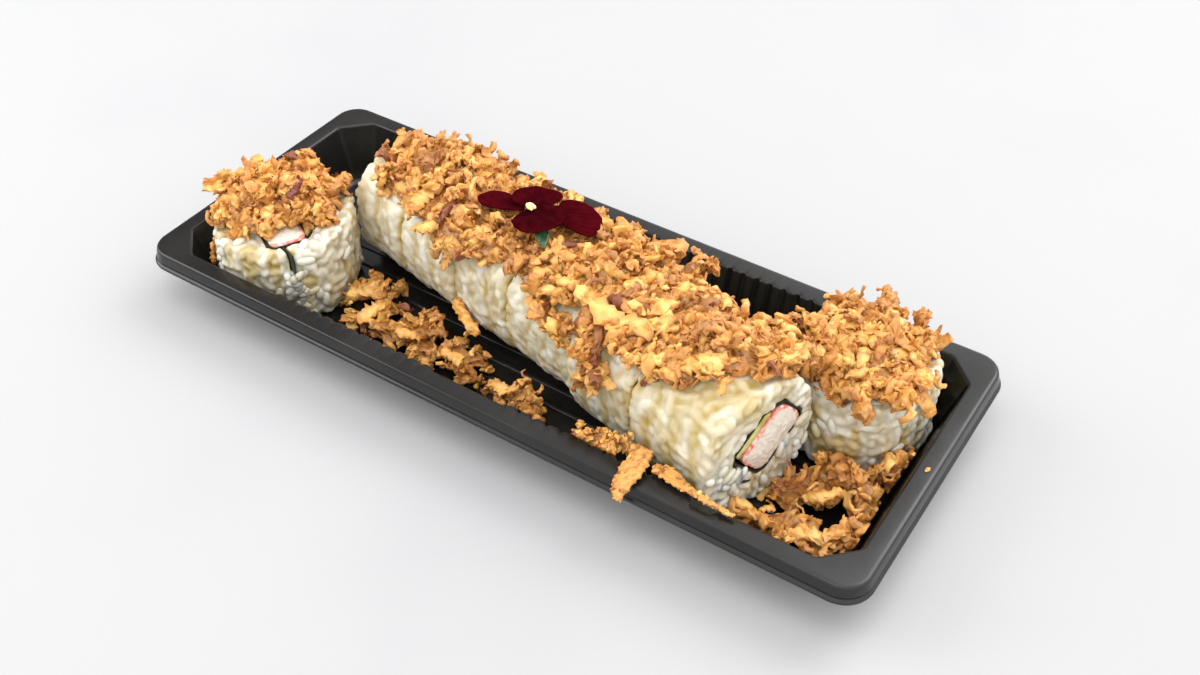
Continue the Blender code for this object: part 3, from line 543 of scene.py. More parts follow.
def sauce_on(co, crease, lying):
    """How much sauce a point holds: streaks that run down, and a wet top."""
    high = np.clip(co[:, 2] / ROLL_TOP, 0, 1)
    wet = np.zeros(len(co))
    if lying:
        s = along_roll(co)[0]
        wander = DRIP_WANDER * soft_noise(co[:, [0, 2, 1]], (0.05, 0.14, 0.05))
        for place, width, reach, strength in DRIPS:
            line = np.exp(-((s - place - wander) / width) ** 2)
            wet = np.maximum(wet, strength * line * ease((high - reach + 0.08) / 0.2))
    streaks = soft_noise(co, (0.3, 0.3, 0.07))
    wet = np.maximum(wet, (0.5 if lying else 0.85) * ease((streaks - 0.05) * 3.2))
    blotch = soft_noise(co, 0.11, (7.0, 3.0, 5.0))
    wet = np.maximum(wet, 0.8 * ease((high - 0.74) / 0.2) * ease(0.5 + blotch))
    return np.clip(wet * (0.75 + 0.6 * crease), 0, 1)


def put_values(mesh, name, values):
    """Keep a value with each point of a mesh, for its material to read."""
    attribute = mesh.attributes.new(name, "FLOAT", "POINT")
    attribute.data.foreach_set("value", np.asarray(values, np.float32))


def laid_over(node, name, mesh, co, values, material):
    """A reworked mesh with its new points and painted values, in place of its node."""
    mesh.vertices.foreach_set("co", (co * MM).astype(np.float32).ravel())
    for key, value in values.items():
        put_values(mesh, key, value)
    mesh.shade_smooth()
    mesh.materials.append(material)
    obj = bpy.data.objects.new(name, mesh)
    bpy.context.scene.collection.objects.link(obj)
    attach(obj, "root")
    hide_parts(node)


def cooked_rice():
    finish = Finish("cooked_rice", 0.42, Subsurface_Weight=0.8, Subsurface_Scale=3.2 * MM,
                    Subsurface_Radius=(1.0, 0.82, 0.55), Coat_Weight=0.22, Coat_Roughness=0.24,
                    Specular_IOR_Level=0.45)
    cloud = finish.patches(260.0, 0.35, 0.68)
    fine = finish.patches(420.0, 0.3, 0.7, 6.0)
    tone = finish.mix(finish.painted("tone"), (0.55, 0.51, 0.385), (0.82, 0.79, 0.69))
    tone = finish.mix(finish.spread(cloud.outputs["Mask"], 0.0, 0.35), tone, (0.62, 0.56, 0.40))
    # Darker in the creases between the grains: painted shade, and sauce that has gathered there.
    tone = finish.mix(finish.spread(finish.painted("crease"), 0.0, 0.55), tone, (0.46, 0.39, 0.23))
    tone = finish.mix(finish.painted("sauce"), tone, (0.43, 0.30, 0.06))
    finish.colour(tone)
    finish.relief(fine.outputs["Height"], 0.8, 0.3)
    return finish.material


def at_cut(facing):
    """How squarely a point faces along the roll, so that it lies on a cut."""
    return ease((facing - 0.25) / 0.4)


def roughness_of(node, co, normals, turn):
    """How far the grains stand out: little on the pressed side, most on the cuts that show."""
    if turn is None:
        return np.full(len(co), STANDING)
    facing = normals @ np.array((math.cos(turn), math.sin(turn), 0.0))
    rough = FACED_CUT * at_cut(np.abs(facing))
    if node == "slice_6":
        smeared = SMEARED * ease((co[:, 2] - SMEAR_FROM) / 9.0)
        rough = np.maximum(rough, at_cut(facing) * (1 - smeared))
    if node == "slice_1":
        rough = np.maximum(rough, at_cut(-facing))
    return np.maximum(rough, FOOT_ROUGH * ease((FOOT_TOP - co[:, 2]) / 6.0))


rice_finish = cooked_rice()
loose_grains = []
filling_tree = surface_tree([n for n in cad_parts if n.startswith(("surimi_", "avocado_"))])
seaweed_tree = surface_tree([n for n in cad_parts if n.startswith("nori_")])

for number, node in enumerate([f"slice_{k}" for k in range(1, 7)] + ["end_left", "end_right"]):
    rng = np.random.default_rng(300 + number)
    rice_mesh = evened(node, RICE_MESH, 3)
    co, normals = points_of(rice_mesh), each_point(rice_mesh, "normal")
    lying = node.startswith("slice")
    if node == "slice_3":
        co = without_flake(co)
    rough = roughness_of(node, co, normals, math.radians(SLICE_TURNS[number]) if lying else None)
    height, owner, grains = grain_field(co, normals, rough, rng)
    height = eased_out(rice_mesh, height, 2)
    lump = np.array([noise.fractal(Vector(p) * LUMPS_FINE + Vector((0, 0, 4.0)), 1.0, 2.0, 3) for p in co])
    height += LUMPS_HIGH * (0.5 + 0.5 * rough) * lump
    # How deep each point lies between the grains: the material paints shade there, and more sauce gathers
    # there.
    crease = np.clip(-height / 0.6, 0, 1)
    room = ease((distances(filling_tree, co, FILLING_REACH) - 0.45) / 0.8)
    bare = co[:, 2] < LOW_ON_CUT if node == "slice_6" else co[:, 2] > HIGH_ON_CUT
    beside_seaweed = ease((distances(seaweed_tree, co, FILLING_REACH) - 0.35) / 0.7)
    room = np.minimum(room, np.where(bare, beside_seaweed, 1.0))
    inner = room < 1
    height[inner] = height[inner] * room[inner] - 0.1 * (1 - room[inner])
    wet = sauce_on(co, crease, lying)
    co_new = co + normals * (height + 0.12)[:, None]
    co_new[:, 2] = np.maximum(co_new[:, 2], SHEET + RIB_HEIGHT + 0.02)
    shade = rng.uniform(0.0, 1.0, len(grains) + 1)
    values = {"tone": eased_out(rice_mesh, shade[owner], 1), "crease": crease, "sauce": wet}
    laid_over(node, "rice_" + node, rice_mesh, co_new, values, rice_finish)
    for i, along, length, width, lift in grains:
        outward = normals[i]
        beside = seaweed_tree.find_nearest(Vector(co[i]), FILLING_REACH)
        covers = beside[0] is not None and not bare[i]
        share = 1.0 if covers else 0.5 if lying and co[i][2] < LOW_ON_CUT else 0.1
        if rough[i] < 0.5 or room[i] < 0.6 or co[i][2] < 3.0 or rng.random() > share:
            continue
        loose = (along, outward, length, width, wet[i])
        loose_grains.append((co[i] + outward * (lift + 0.1), *loose, rng.random()))
        if covers:
            towards = np.array(beside[0]) - co[i]
            loose_grains.append((co[i] + 0.9 * towards + outward * 0.2, *loose, rng.random()))


# Loose grains: whole grains that stand out of the cut faces and of the two end pieces, each
# one a plump curved ellipsoid held by its sticky neighbours. Some hide the seaweed's lower edge.
GRAIN_RINGS = 9
GRAIN_SIDES = 8
LEFT_END = (-82.2, -17.4)
EDGE_FROM, EDGE_TO, EDGE_STEP = 3.0, 18.5, 1.3


def grain_shape():
    """Points of one grain of unit half length and half width, bent a little, and its faces."""
    points = []
    for k in range(GRAIN_RINGS):
        t = math.pi * (k + 0.35) / (GRAIN_RINGS - 0.3)
        x, r = -math.cos(t), math.sin(t) ** 0.75
        for m in range(GRAIN_SIDES):
            turn = 2 * math.pi * m / GRAIN_SIDES
            points.append((x, r * math.cos(turn), r * math.sin(turn) + 0.22 * (1 - x * x)))
    rings = [points[k * GRAIN_SIDES:(k + 1) * GRAIN_SIDES] for k in range(GRAIN_RINGS)]
    return np.array(points), skin(rings)


edge_rng = np.random.default_rng(88)
edge_points = triangles_of("nori_left").reshape(-1, 3)
edge_away = np.hypot(edge_points[:, 0] - LEFT_END[0], edge_points[:, 1] - LEFT_END[1])
edge_x, edge_y = edge_points[edge_away > edge_away.max() - 1.0, :2].mean(0)
edge_out = np.array((edge_x - LEFT_END[0], edge_y - LEFT_END[1], 0.0)) / edge_away.max()
for z in np.arange(EDGE_FROM, EDGE_TO, EDGE_STEP):
    side = np.cross(edge_out, (0.0, 0.0, 1.0)) * edge_rng.uniform(-1.1, 1.1)
    along = chance_along(edge_out, edge_rng)
    place = np.array((edge_x, edge_y, z)) + side + 0.35 * edge_out
    long = GRAIN_HALF[0] * edge_rng.uniform(0.7, 1.0)
    loose_grains.append((place, along, edge_out, long, GRAIN_HALF[1], 0.45, edge_rng.random()))

grain_points, grain_faces = grain_shape()
all_points, all_faces, grain_wet, grain_tone = [], [], [], []
for at, along, outward, length, width, wet, tone in loose_grains:
    across = np.cross(outward, along)
    base = len(all_points) * len(grain_points)
    body = (grain_points[:, :1] * length * along + grain_points[:, 1:2] * width * across
            + grain_points[:, 2:3] * width * 0.72 * outward)
    all_points.append(at + body)
    all_faces += [tuple(base + v for v in face) for face in grain_faces]
    grain_wet += [wet * 0.75] * len(grain_points)
    grain_tone += [0.3 + 0.7 * tone] * len(grain_points)
grains_piece = make_piece("rice_grains", np.concatenate(all_points), all_faces, rice_finish)
put_values(grains_piece.data, "tone", grain_tone)
put_values(grains_piece.data, "sauce", grain_wet)
put_values(grains_piece.data, "crease", np.zeros(len(grain_wet)))


# Filling: crab stick with a thin red skin round white slanting fibres, soft avocado beside it,
# and one sheet of seaweed rolled round both.
STICK_SKIN = 0.55
CUT_MESH, HIDDEN_MESH = 0.4, 0.8
HIDDEN_FILLINGS = ("2", "3", "4", "5")


def thickened(node, name, voxel, smooth, material, shape):
    """A finer mesh that takes a node's place; shape gives its new points and painted values."""
    mesh = evened(node, voxel, smooth)
    co, values = shape(points_of(mesh), each_point(mesh, "normal"))
    laid_over(node, name, mesh, co, values, material)


def crab_shape(co, normals):
    """The stick's end a little domed and fibrous, with its skin red at the rim."""
    middle = co.mean(0)
    axis = np.linalg.svd(co - middle, full_matrices=False)[2][0]
    facing = np.abs(normals @ axis)
    sides = co[facing < 0.35]
    tree = point_tree(sides)
    rim = np.array([tree.find(p)[2] for p in co])
    ragged = soft_noise(co, 0.9)
    red = 1 - ease((rim - STICK_SKIN * (1 + 0.9 * ragged)) / 0.5)
    slant = np.stack((co[:, 0] + co[:, 2], co[:, 1], co[:, 2] - co[:, 0]), 1)
    along = soft_noise(slant, (1.2, 1.2, 0.2))
    end = ease((facing - 0.6) / 0.3)
    dome = end * np.clip(rim / 4.0, 0, 1) * 0.8
    values = {"red": red * ease(0.75 + 1.8 * ragged), "fibre": 0.5 + along}
    return co + normals * (dome + end * 0.22 * along)[:, None], values


def crab_stick():
    finish = Finish("crab_stick", 0.34, Subsurface_Weight=0.3, Subsurface_Scale=1.5 * MM, Coat_Weight=0.3,
                    Coat_Roughness=0.15)
    inside = finish.mix(finish.painted("fibre"), (0.74, 0.66, 0.55), (0.80, 0.75, 0.66))
    skin_patches = finish.patches(420.0, 0.35, 0.62)
    outside = finish.mix(skin_patches.outputs["Mask"], (0.72, 0.07, 0.045), (0.82, 0.26, 0.19))
    finish.colour(finish.mix(finish.painted("red"), inside, outside))
    finish.relief(skin_patches.outputs["Height"], 0.15, 0.3)
    return finish.material


def soft_shape(co, normals):
    """A soft thing, gently uneven."""
    return co + normals * (0.35 * soft_noise(co, 0.45))[:, None], {}


def avocado_flesh():
    finish = Finish("avocado_flesh", 0.36, Subsurface_Weight=0.25, Subsurface_Scale=1.5 * MM, Coat_Weight=0.2)
    return finish.mottled((330.0, 0.38, 0.64), (0.42, 0.40, 0.10), (0.62, 0.58, 0.22), (0.2, 0.4))


def seaweed():
    finish = Finish("seaweed", 0.42, Coat_Weight=0.2)
    return finish.mottled((600.0, 0.4, 0.62), (0.006, 0.010, 0.007), (0.02, 0.032, 0.018), (0.2, 0.5))


crab_finish, avocado_finish, seaweed_finish = crab_stick(), avocado_flesh(), seaweed()
for tag in ["1", "2", "3", "4", "5", "6", "left", "right"]:
    voxel = HIDDEN_MESH if tag in HIDDEN_FILLINGS else CUT_MESH
    thickened("surimi_" + tag, "crab_" + tag, voxel, 3, crab_finish, crab_shape)
    thickened("avocado_" + tag, "avocado_flesh_" + tag, voxel, 3, avocado_finish, soft_shape)
    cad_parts["nori_" + tag].data.materials.clear()
    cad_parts["nori_" + tag].data.materials.append(seaweed_finish)


# Crispy onions: thin slices and shreds in flour, fried until they curl, break and turn gold.
# They lie loose on the roll, on the end pieces and in the tray. Each heap is a crumbly core
# with separate chips all over it.
CORE_SINK = 1.2
CORE_SINK_LOW = 0.6
CORE_MESH = 0.7
CHIP_SINK = 0.15
RED_CHIPS = 0.03
FLAKES_PALER = 0.25
EACH_SORT = 12


def rough_noise(points, scale, seed):
    """Noise with finer noise on it at each point."""
    shift = Vector((seed * 3.7, seed * 1.3, seed * 2.1))
    return np.array([noise.fractal(Vector(p) * scale + shift, 0.7, 2.0, 3) for p in points])


def crumb_kind(seed):
    """A nubbly crumb: a ball pulled long and knocked out of shape."""
    bm = bmesh.new()
    bmesh.ops.create_icosphere(bm, subdivisions=2, radius=0.5)
    points = np.array([v.co for v in bm.verts])
    faces = np.array([[v.index for v in f.verts] for f in bm.faces])
    bm.free()
    lumps = rough_noise(points, 2.6, seed)
    points = points * (1 + 0.8 * lumps)[:, None] * (1.0, 0.75, 0.6)
    return points, faces, ease(-1.5 * lumps), 0.5 * lumps


def strip_kind(seed, turn, width, grid=(10, 4), ragged=0.45, thick=0.07, rough=0.06):
    """A strip a length of one long: curled by an angle, cupped, twisted and ragged at its edges."""
    rng = np.random.default_rng(seed)
    count, wide = grid
    twist = rng.uniform(-0.9, 0.9)
    bite = 1 - ragged * rng.random((count, 2))
    radius = 1.0 / max(turn, 0.15)
    top, bottom, rim = [], [], []
    for i in range(count):
        u = i / (count - 1) - 0.5
        taper = 0.5 + 0.5 * math.cos(u * 2.7)
        angle = u * turn
        out = np.array((-math.sin(angle), 0.0, math.cos(angle)))
        for j in range(wide):
            v = 2 * j / (wide - 1) - 1
            edge = width / 2 * taper * bite[i][int(v > 0)]
            wave = 0.5 * rough * rng.normal()
            lift = 0.35 * v * v * edge + twist * u * v * edge + wave
            place = np.array((radius * math.sin(angle), v * edge + 0.05 * math.sin(7 * u + seed),
                              radius * (1 - math.cos(angle)) + lift))
            half = thick * rng.uniform(0.6, 1.2) * (0.6 if abs(v) == 1 else 1.0)
            top.append(place + half * out)
            bottom.append(place - half * out)
            rim.append(max(abs(v), abs(2 * u) ** 3) ** 2)
    points = np.array(top + bottom)
    shift = count * wide
    quads = []
    for i in range(count - 1):
        for j in range(wide - 1):
            a = i * wide + j
            quads += [(a, a + wide, a + wide + 1, a + 1),
                      (a + shift, a + 1 + shift, a + wide + 1 + shift, a + wide + shift)]
        first, last = i * wide, (i + 1) * wide - 1
        quads += [(first, first + shift, first + wide + shift, first + wide),
                  (last, last + wide, last + wide + shift, last + shift)]
    for j in range(wide - 1):
        last = (count - 1) * wide + j
        quads += [(j, j + 1, j + 1 + shift, j + shift), (last, last + shift, last + 1 + shift, last + 1)]
    faces = np.array([t for q in quads for t in ((q[0], q[1], q[2]), (q[0], q[2], q[3]))])
    points = points + rough * np.stack([rough_noise(points, 5.0, seed + k) for k in (0, 9, 17)], 1)
    return points - points.mean(0), faces, np.array(rim * 2), rough_noise(points, 3.5, seed + 30)


SORTS = {
    "crumbs": [crumb_kind(k) for k in range(EACH_SORT)],
    "curls": [strip_kind(50 + k, 1.0 + 0.3 * k, 0.3 + 0.015 * k) for k in range(EACH_SORT)],
    "shreds": [strip_kind(90 + k, 0.6 + 0.25 * k, 0.2, (12, 3), 0.4, 0.06) for k in range(EACH_SORT)],
    "flakes": [strip_kind(130 + k, 0.4 + 0.1 * k, 0.66, (11, 6), 0.5, 0.05) for k in range(EACH_SORT)],
}
SIZE_OF_SORT = {"crumbs": 0.7, "curls": 1.3, "shreds": 1.35, "flakes": 1.2}


def inside_tray(points):
    """Chips that would reach into the plastic are pressed against it."""
    rise = np.clip((points[:, 2] - SHEET - 1.5) / (RIM_Z - SHEET - 1.5), 0, 1)
    inset = WALL_IN * (1 - rise) + FLUTE_DEPTH + 0.35
    low = points[:, 2] < RIM_Z + 0.3
    half_x, half_y = OPEN_X - inset, OPEN_Y - inset
    out = points.copy()
    out[low, 0] = np.clip(points[low, 0], -half_x[low], half_x[low])
    out[low, 1] = np.clip(points[low, 1], -half_y[low], half_y[low])
    over = np.abs(out[:, 0]) + np.abs(out[:, 1]) - (half_x + half_y - OPENING_CUT)
    push = np.where(low & (over > 0), over / 2, 0.0)
    out[:, :2] -= np.sign(out[:, :2]) * push[:, None]
    out[:, 2] = np.maximum(out[:, 2], SHEET + RIB_HEIGHT + 0.1)
    return out


class Chips:
    """Chips of one sort, gathered into one mesh with the values painted on them."""

    def __init__(self):
        self.points, self.faces, self.tone, self.red, self.rim = [], [], [], [], []
        self.count = 0

    def add(self, kind, at, along, outward, size, tone, red):
        points, faces, rim, shade = kind
        across = np.cross(outward, along)
        placed = at + size * (points @ np.array((along, across, outward)))
        if abs(at[0]) < OPEN_X and abs(at[1]) < OPEN_Y:
            placed = inside_tray(placed)
        self.points.append(placed)
        self.faces.append(faces + self.count)
        self.count += len(points)
        self.rim.append(rim)
        self.tone.append(np.clip(tone + 0.5 * shade, 0, 1))
        self.red.append(np.full(len(points), red))

    def finished(self, name):
        points = np.concatenate(self.points)
        piece = make_piece(name, points, np.concatenate(self.faces), onion_finish, (), 70)
        for key, values in (("tone", self.tone), ("red", self.red), ("rim", self.rim)):
            put_values(piece.data, key, np.concatenate(values))


chips = {sort: Chips() for sort in SORTS}
petal_tree = surface_tree([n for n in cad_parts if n.startswith(("petal_", "viola_"))])


def clear_of_flower(at, size):
    """Whether a chip leaves the petals free."""
    found = petal_tree.find_nearest(Vector(at), 12.0)
    return found[0] is None or found[3] > 0.3 * size


def scatter(node, count, sizes, shares, rng, lie):
    """Chips spread evenly over a heap's upper faces, lying roughly along them."""
    corners = triangles_of(node)
    sides = np.cross(corners[:, 1] - corners[:, 0], corners[:, 2] - corners[:, 0])
    area = np.linalg.norm(sides, axis=1)
    facing = sides / area[:, None]
    weight = area * (facing[:, 2] > -0.3)
    for i in rng.choice(len(corners), count, p=weight / weight.sum()):
        a, b = rng.random(2)
        if a + b > 1:
            a, b = 1 - a, 1 - b
        at = corners[i][0] + a * (corners[i][1] - corners[i][0]) + b * (corners[i][2] - corners[i][0])
        sort = list(SORTS)[rng.choice(len(SORTS), p=shares)]
        size = (sizes[0] + (sizes[1] - sizes[0]) * rng.random() ** 1.5) * SIZE_OF_SORT[sort]
        outward = facing[i] + lie * rng.normal(size=3) + (0, 0, 0.5)
        outward /= np.linalg.norm(outward)
        along = chance_along(outward, rng)
        tone = np.clip(0.5 + 0.2 * rng.normal() + 0.5 * noise.noise(Vector(at) * 0.12), 0, 1)
        tone = min(1.0, tone + FLAKES_PALER) if sort == "flakes" else tone
        red = rng.uniform(0.4, 0.9) if rng.random() < RED_CHIPS else 0.0
        kind = SORTS[sort][rng.integers(EACH_SORT)]
        turned = 1.0 if rng.random() < 0.5 else -1.0
        if clear_of_flower(at, size):
            at = at - outward * size * CHIP_SINK
            chips[sort].add(kind, at, along, outward * turned, size, tone, red)


def fried_onion():
    finish = Finish("fried_onion", 0.5, Subsurface_Weight=0.15, Subsurface_Scale=0.8 * MM, Coat_Weight=0.25,
                    Coat_Roughness=0.3)
    crumbs = finish.patches(900.0, 0.36, 0.64)
    blush = finish.patches(300.0, 0.45, 0.7)
    tone = finish.nodes.new("ShaderNodeValToRGB")
    stops = tone.color_ramp.elements
    stops[0].position, stops[0].color = 0.0, (0.22, 0.07, 0.012, 1)
    stops[1].position, stops[1].color = 1.0, (0.90, 0.57, 0.165, 1)
    for place, colour in ((0.3, (0.50, 0.195, 0.036, 1)), (0.62, (0.75, 0.35, 0.065, 1))):
        stops.new(place).color = colour
    finish.links.new(finish.painted("tone"), tone.inputs["Fac"])
    floury = finish.spread(crumbs.outputs["Mask"], 0.0, 0.35)
    colour = finish.mix(floury, tone.outputs["Color"], (0.85, 0.49, 0.13))
    colour = finish.mix(finish.spread(finish.painted("rim"), 0.0, 0.6), colour, (0.42, 0.15, 0.025))
    colour = finish.mix(finish.spread(blush.outputs["Mask"], 0.0, 0.3), colour, (0.40, 0.14, 0.025))
    finish.colour(finish.mix(finish.painted("red"), colour, (0.16, 0.022, 0.010)))
    finish.relief(crumbs.outputs["Height"], 0.5, 0.6)
    return finish.material


onion_finish = fried_onion()


def core_shape(co, normals):
    """The crumbly mass under the chips: the heap's solid drawn in a little."""
    lumps = rough_noise(co, 0.4, 4)
    none = np.zeros(len(co))
    # The core's tone is kept low: painted shade, standing for the dark hollows deep among the chips.
    values = {"tone": np.clip(0.1 + 0.25 * lumps, 0, 1), "red": none, "rim": none}
    sink = CORE_SINK + CORE_SINK_LOW * ease((12.0 - co[:, 2]) / 3.0)
    return inside_tray(co + normals * (0.5 * lumps - sink)[:, None]), values


HEAPS = {
    # chips on each heap, their sizes, their shares by sort, and how loosely they lie
    "onion_heap": (1700, (2.6, 8.0), (0.22, 0.38, 0.2, 0.2), 0.5),
    "onion_right": (470, (2.6, 8.0), (0.22, 0.4, 0.18, 0.2), 0.5),
    "onion_left": (380, (2.6, 8.0), (0.22, 0.36, 0.18, 0.24), 0.5),
    "onion_trough_1": (130, (2.2, 6.6), (0.4, 0.28, 0.12, 0.2), 0.35),
    "onion_trough_2": (58, (2.2, 5.6), (0.4, 0.28, 0.12, 0.2), 0.35),
    "onion_corner": (135, (3.0, 8.5), (0.16, 0.46, 0.2, 0.18), 0.45),
    "onion_front": (60, (1.8, 4.6), (0.4, 0.3, 0.1, 0.2), 0.4),
    "onion_rim_flake": (16, (1.6, 3.4), (0.5, 0.2, 0.1, 0.2), 0.3),
    "onion_rim_strip": (12, (1.2, 2.6), (0.6, 0.2, 0.1, 0.1), 0.3),
}
for number, (node, (count, sizes, shares, lie)) in enumerate(HEAPS.items()):
    if not node.startswith("onion_rim"):
        thickened(node, "core_of_" + node, CORE_MESH, 2, onion_finish, core_shape)
    scatter(node, count, sizes, shares, np.random.default_rng(500 + number), lie)


# Large flakes: whole curls and leaves of onion that stand out among the chips, some pale, some
# dark red like the onion's skin. Three more lie apart from the heaps.
LARGE_FLAKES = (
    # both ends, width, how far it curls, tone, how red it is
    ((20.0, -16.2, 41.4), (41.5, -18.5, 40.6), 8.0, 0.5, 0.95, 0.0),
    ((49.5, -25.5, 39.6), (61.0, -17.0, 42.6), 7.0, 0.6, 0.85, 0.0),
    ((-47.5, -4.5, 33.0), (-41.0, 2.0, 40.0), 7.0, 0.7, 0.95, 0.0),
    ((-30.5, -10.0, 24.5), (-25.0, -8.8, 34.5), 5.5, 0.7, 0.8, 0.0),
    ((1.5, -12.5, 41.0), (5.5, -3.5, 42.6), 6.0, 0.8, 0.9, 0.0),
    ((28.5, -19.5, 39.6), (28.8, -29.5, 29.0), 3.6, 1.2, 0.5, 0.75),
    ((-52.0, 8.5, 39.4), (-46.0, 14.0, 42.0), 4.2, 1.6, 0.45, 0.5),
    ((-32.5, -7.0, 36.2), (-33.0, 0.5, 40.6), 2.8, 1.0, 0.3, 0.85),
    ((-76.0, -19.0, 34.4), (-79.5, -11.0, 35.0), 3.8, 0.9, 0.2, 1.0),
    ((-76.0, -21.5, 28.0), (-71.0, -17.0, 32.6), 6.5, 0.9, 0.95, 0.0),
    ((-77.5, -4.5, 33.8), (-71.0, -2.5, 29.6), 2.8, 0.8, 0.7, 0.0),
    ((-90.5, -28.5, 33.0), (-84.5, -31.5, 31.0), 3.2, 0.8, 0.5, 0.4),
    ((-26.5, -10.8, 15.0), (-16.5, -14.4, 9.0), 5.0, 0.7, 0.75, 0.0),
    ((4.0, -18.2, 35.6), (13.0, -21.0, 31.0), 4.4, 1.0, 0.6, 0.0),
    ((21.5, -22.8, 30.5), (28.0, -23.4, 34.5), 4.0, 0.9, 0.7, 0.0),
    ((43.0, -26.2, 33.0), (47.5, -25.4, 36.4), 2.2, 0.8, 0.3, 0.85),
    ((97.0, 15.5, 28.5), (103.0, 12.6, 20.6), 4.8, 1.3, 0.6, 0.0),
    ((88.0, 2.2, 31.5), (92.2, -0.4, 23.8), 3.8, 1.1, 0.5, 0.0),
    ((77.0, 2.8, 29.5), (84.0, 0.2, 25.0), 3.2, 1.1, 0.35, 0.0),
    ((74.5, 18.5, 36.0), (80.0, 18.0, 37.0), 3.4, 0.8, 0.5, 0.4),
    ((-60.5, -20.5, 5.5), (-52.5, -14.0, 10.0), 5.5, 0.9, 0.9, 0.0),
    ((-50.0, -26.0, 6.0), (-46.5, -18.0, 9.0), 6.0, 0.8, 0.85, 0.0),
    ((-38.5, -24.5, 9.0), (-29.5, -23.0, 7.5), 4.8, 0.8, 0.7, 0.0),
    ((-22.5, -22.0, 7.0), (-13.5, -25.5, 8.5), 5.0, 0.8, 0.75, 0.0),
    ((-4.0, -26.5, 6.5), (5.5, -25.8, 8.8), 4.8, 0.9, 0.8, 0.0),
    ((85.5, -30.5, 9.0), (95.5, -26.0, 10.0), 6.0, 0.9, 0.9, 0.0),
    ((73.5, -29.2, 8.0), (84.5, -29.0, 10.0), 4.0, 1.0, 0.45, 0.0),
    ((76.5, -16.0, 7.5), (84.0, -14.0, 9.0), 2.8, 0.5, 0.3, 0.5),
    ((84.5, -17.5, 8.5), (93.5, -12.0, 11.0), 4.8, 1.2, 0.75, 0.0),
    ((94.5, -9.5, 10.5), (97.5, 1.0, 11.5), 4.0, 0.7, 0.55, 0.0),
    ((95.0, -28.0, 9.5), (97.5, -19.0, 10.5), 4.5, 0.9, 0.6, 0.0),
)
FLAKE_GRID = (15, 7)
FLAKE_HALF_THICK = 0.28
FLAKE_BITES, FLAKE_ROUGH = 0.55, 0.05
CURLED_UP = 3
under_flakes = surface_tree([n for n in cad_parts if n.startswith(("onion_", "slice_", "end_"))])
chips["large"] = Chips()
for number, (first, last, width, curl, tone, red) in enumerate(LARGE_FLAKES):
    first, last = np.array(first), np.array(last)
    length = np.linalg.norm(last - first)
    along = (last - first) / length
    outward = np.array(under_flakes.find_nearest(Vector((first + last) / 2))[1]) + (0.2, -0.3, 0.5)
    outward -= along * (outward @ along)
    outward /= np.linalg.norm(outward)
    turned = -1.0 if number % CURLED_UP else 1.0
    thick = FLAKE_HALF_THICK / length
    kind = strip_kind(200 + number, curl, width / length, FLAKE_GRID, FLAKE_BITES, thick, FLAKE_ROUGH)
    middle = (first + last) / 2 + 0.3 * outward
    chips["large"].add(kind, middle, along, outward * turned, length, tone, red)


def flake_shape(co, normals):
    """A flake that lies apart: thin, with bitten edges."""
    lumps = rough_noise(co, 0.8, 11)
    sideways = 1 - np.abs(normals[:, 2])
    values = {"tone": np.clip(0.42 + 0.6 * lumps, 0, 1), "red": np.zeros(len(co)),
              "rim": np.clip(sideways + lumps, 0, 1)}
    return co + normals * (lumps * (0.25 + 0.6 * sideways))[:, None], values


for node in ("onion_rim_flake", "onion_rim_strip", "onion_left_flake"):
    thickened(node, "flake_" + node[6:], 0.3, 2, onion_finish, flake_shape)


# Viola: four velvety petals, darker at their middle and along their veins, round a pale heart,
# with a green sepal below. It is a real flower laid on the onions.
HEART = (-8.4, 1.5)
PETAL_MESH = 0.28


def petal_shape(co, normals):
    """A petal with a slight ruffle and veins that run out from the heart."""
    away = np.hypot(co[:, 0] - HEART[0], co[:, 1] - HEART[1])
    turn = np.arctan2(co[:, 1] - HEART[1], co[:, 0] - HEART[0])
    ruffle = np.sin(turn * 14 + away * 0.35) * 0.16 * np.clip(away / 12, 0, 1) ** 2
    out = co.copy()
    out[:, 2] += ruffle
    veins = 0.5 + 0.5 * np.cos(turn * 46 + 2.2 * np.sin(away * 0.5))
    return out, {"away": np.clip(away / 18, 0, 1), "vein": veins}


def petal_velvet():
    finish = Finish("petal_velvet", 0.6, Sheen_Weight=0.02, Sheen_Roughness=0.35,
                    Sheen_Tint=(0.5, 0.02, 0.03, 1.0), Specular_IOR_Level=0.0)
    base = finish.mix(finish.painted("away"), (0.012, 0.001, 0.002), (0.055, 0.002, 0.004))
    mottle = finish.patches(420.0, 0.35, 0.7)
    dark = finish.maths("MULTIPLY", finish.painted("vein"), 0.35)
    base = finish.mix(dark, base, (0.012, 0.0005, 0.003))
    finish.colour(finish.mix(finish.spread(mottle.outputs["Mask"], 0.0, 0.3), base, (0.09, 0.004, 0.007)))
    finish.relief(finish.painted("vein"), 0.05, 0.3)
    return finish.material


def pollen_heart():
    finish = Finish("pollen_heart", 0.55, Subsurface_Weight=0.2, Subsurface_Scale=0.5 * MM)
    return finish.mottled((1500.0, 0.4, 0.6), (0.90, 0.86, 0.52), (0.85, 0.66, 0.16), (0.2, 0.5))


def heart_shape(co, normals):
    """The flower's heart, smaller than its solid and lumpy."""
    middle = co.mean(0)
    lumps = rough_noise(co, 1.1, 3)
    small = middle + (co - middle) * (0.95, 0.7, 0.6) * (1 + 0.25 * lumps)[:, None]
    return small - (0, 0, 0.3), {}


def sepal_green():
    finish = Finish("sepal_green", 0.45, Coat_Weight=0.1)
    return finish.mottled((700.0, 0.4, 0.6), (0.016, 0.045, 0.018), (0.06, 0.13, 0.045), (0.15, 0.4))


petal_finish = petal_velvet()
for tag in ("left", "right", "top", "front"):
    thickened("petal_" + tag, "velvet_" + tag, PETAL_MESH, 4, petal_finish, petal_shape)
thickened("viola_heart", "heart_of_viola", 0.2, 2, pollen_heart(), heart_shape)
thickened("viola_sepal", "sepal_of_viola", 0.2, 2, sepal_green(), soft_shape)


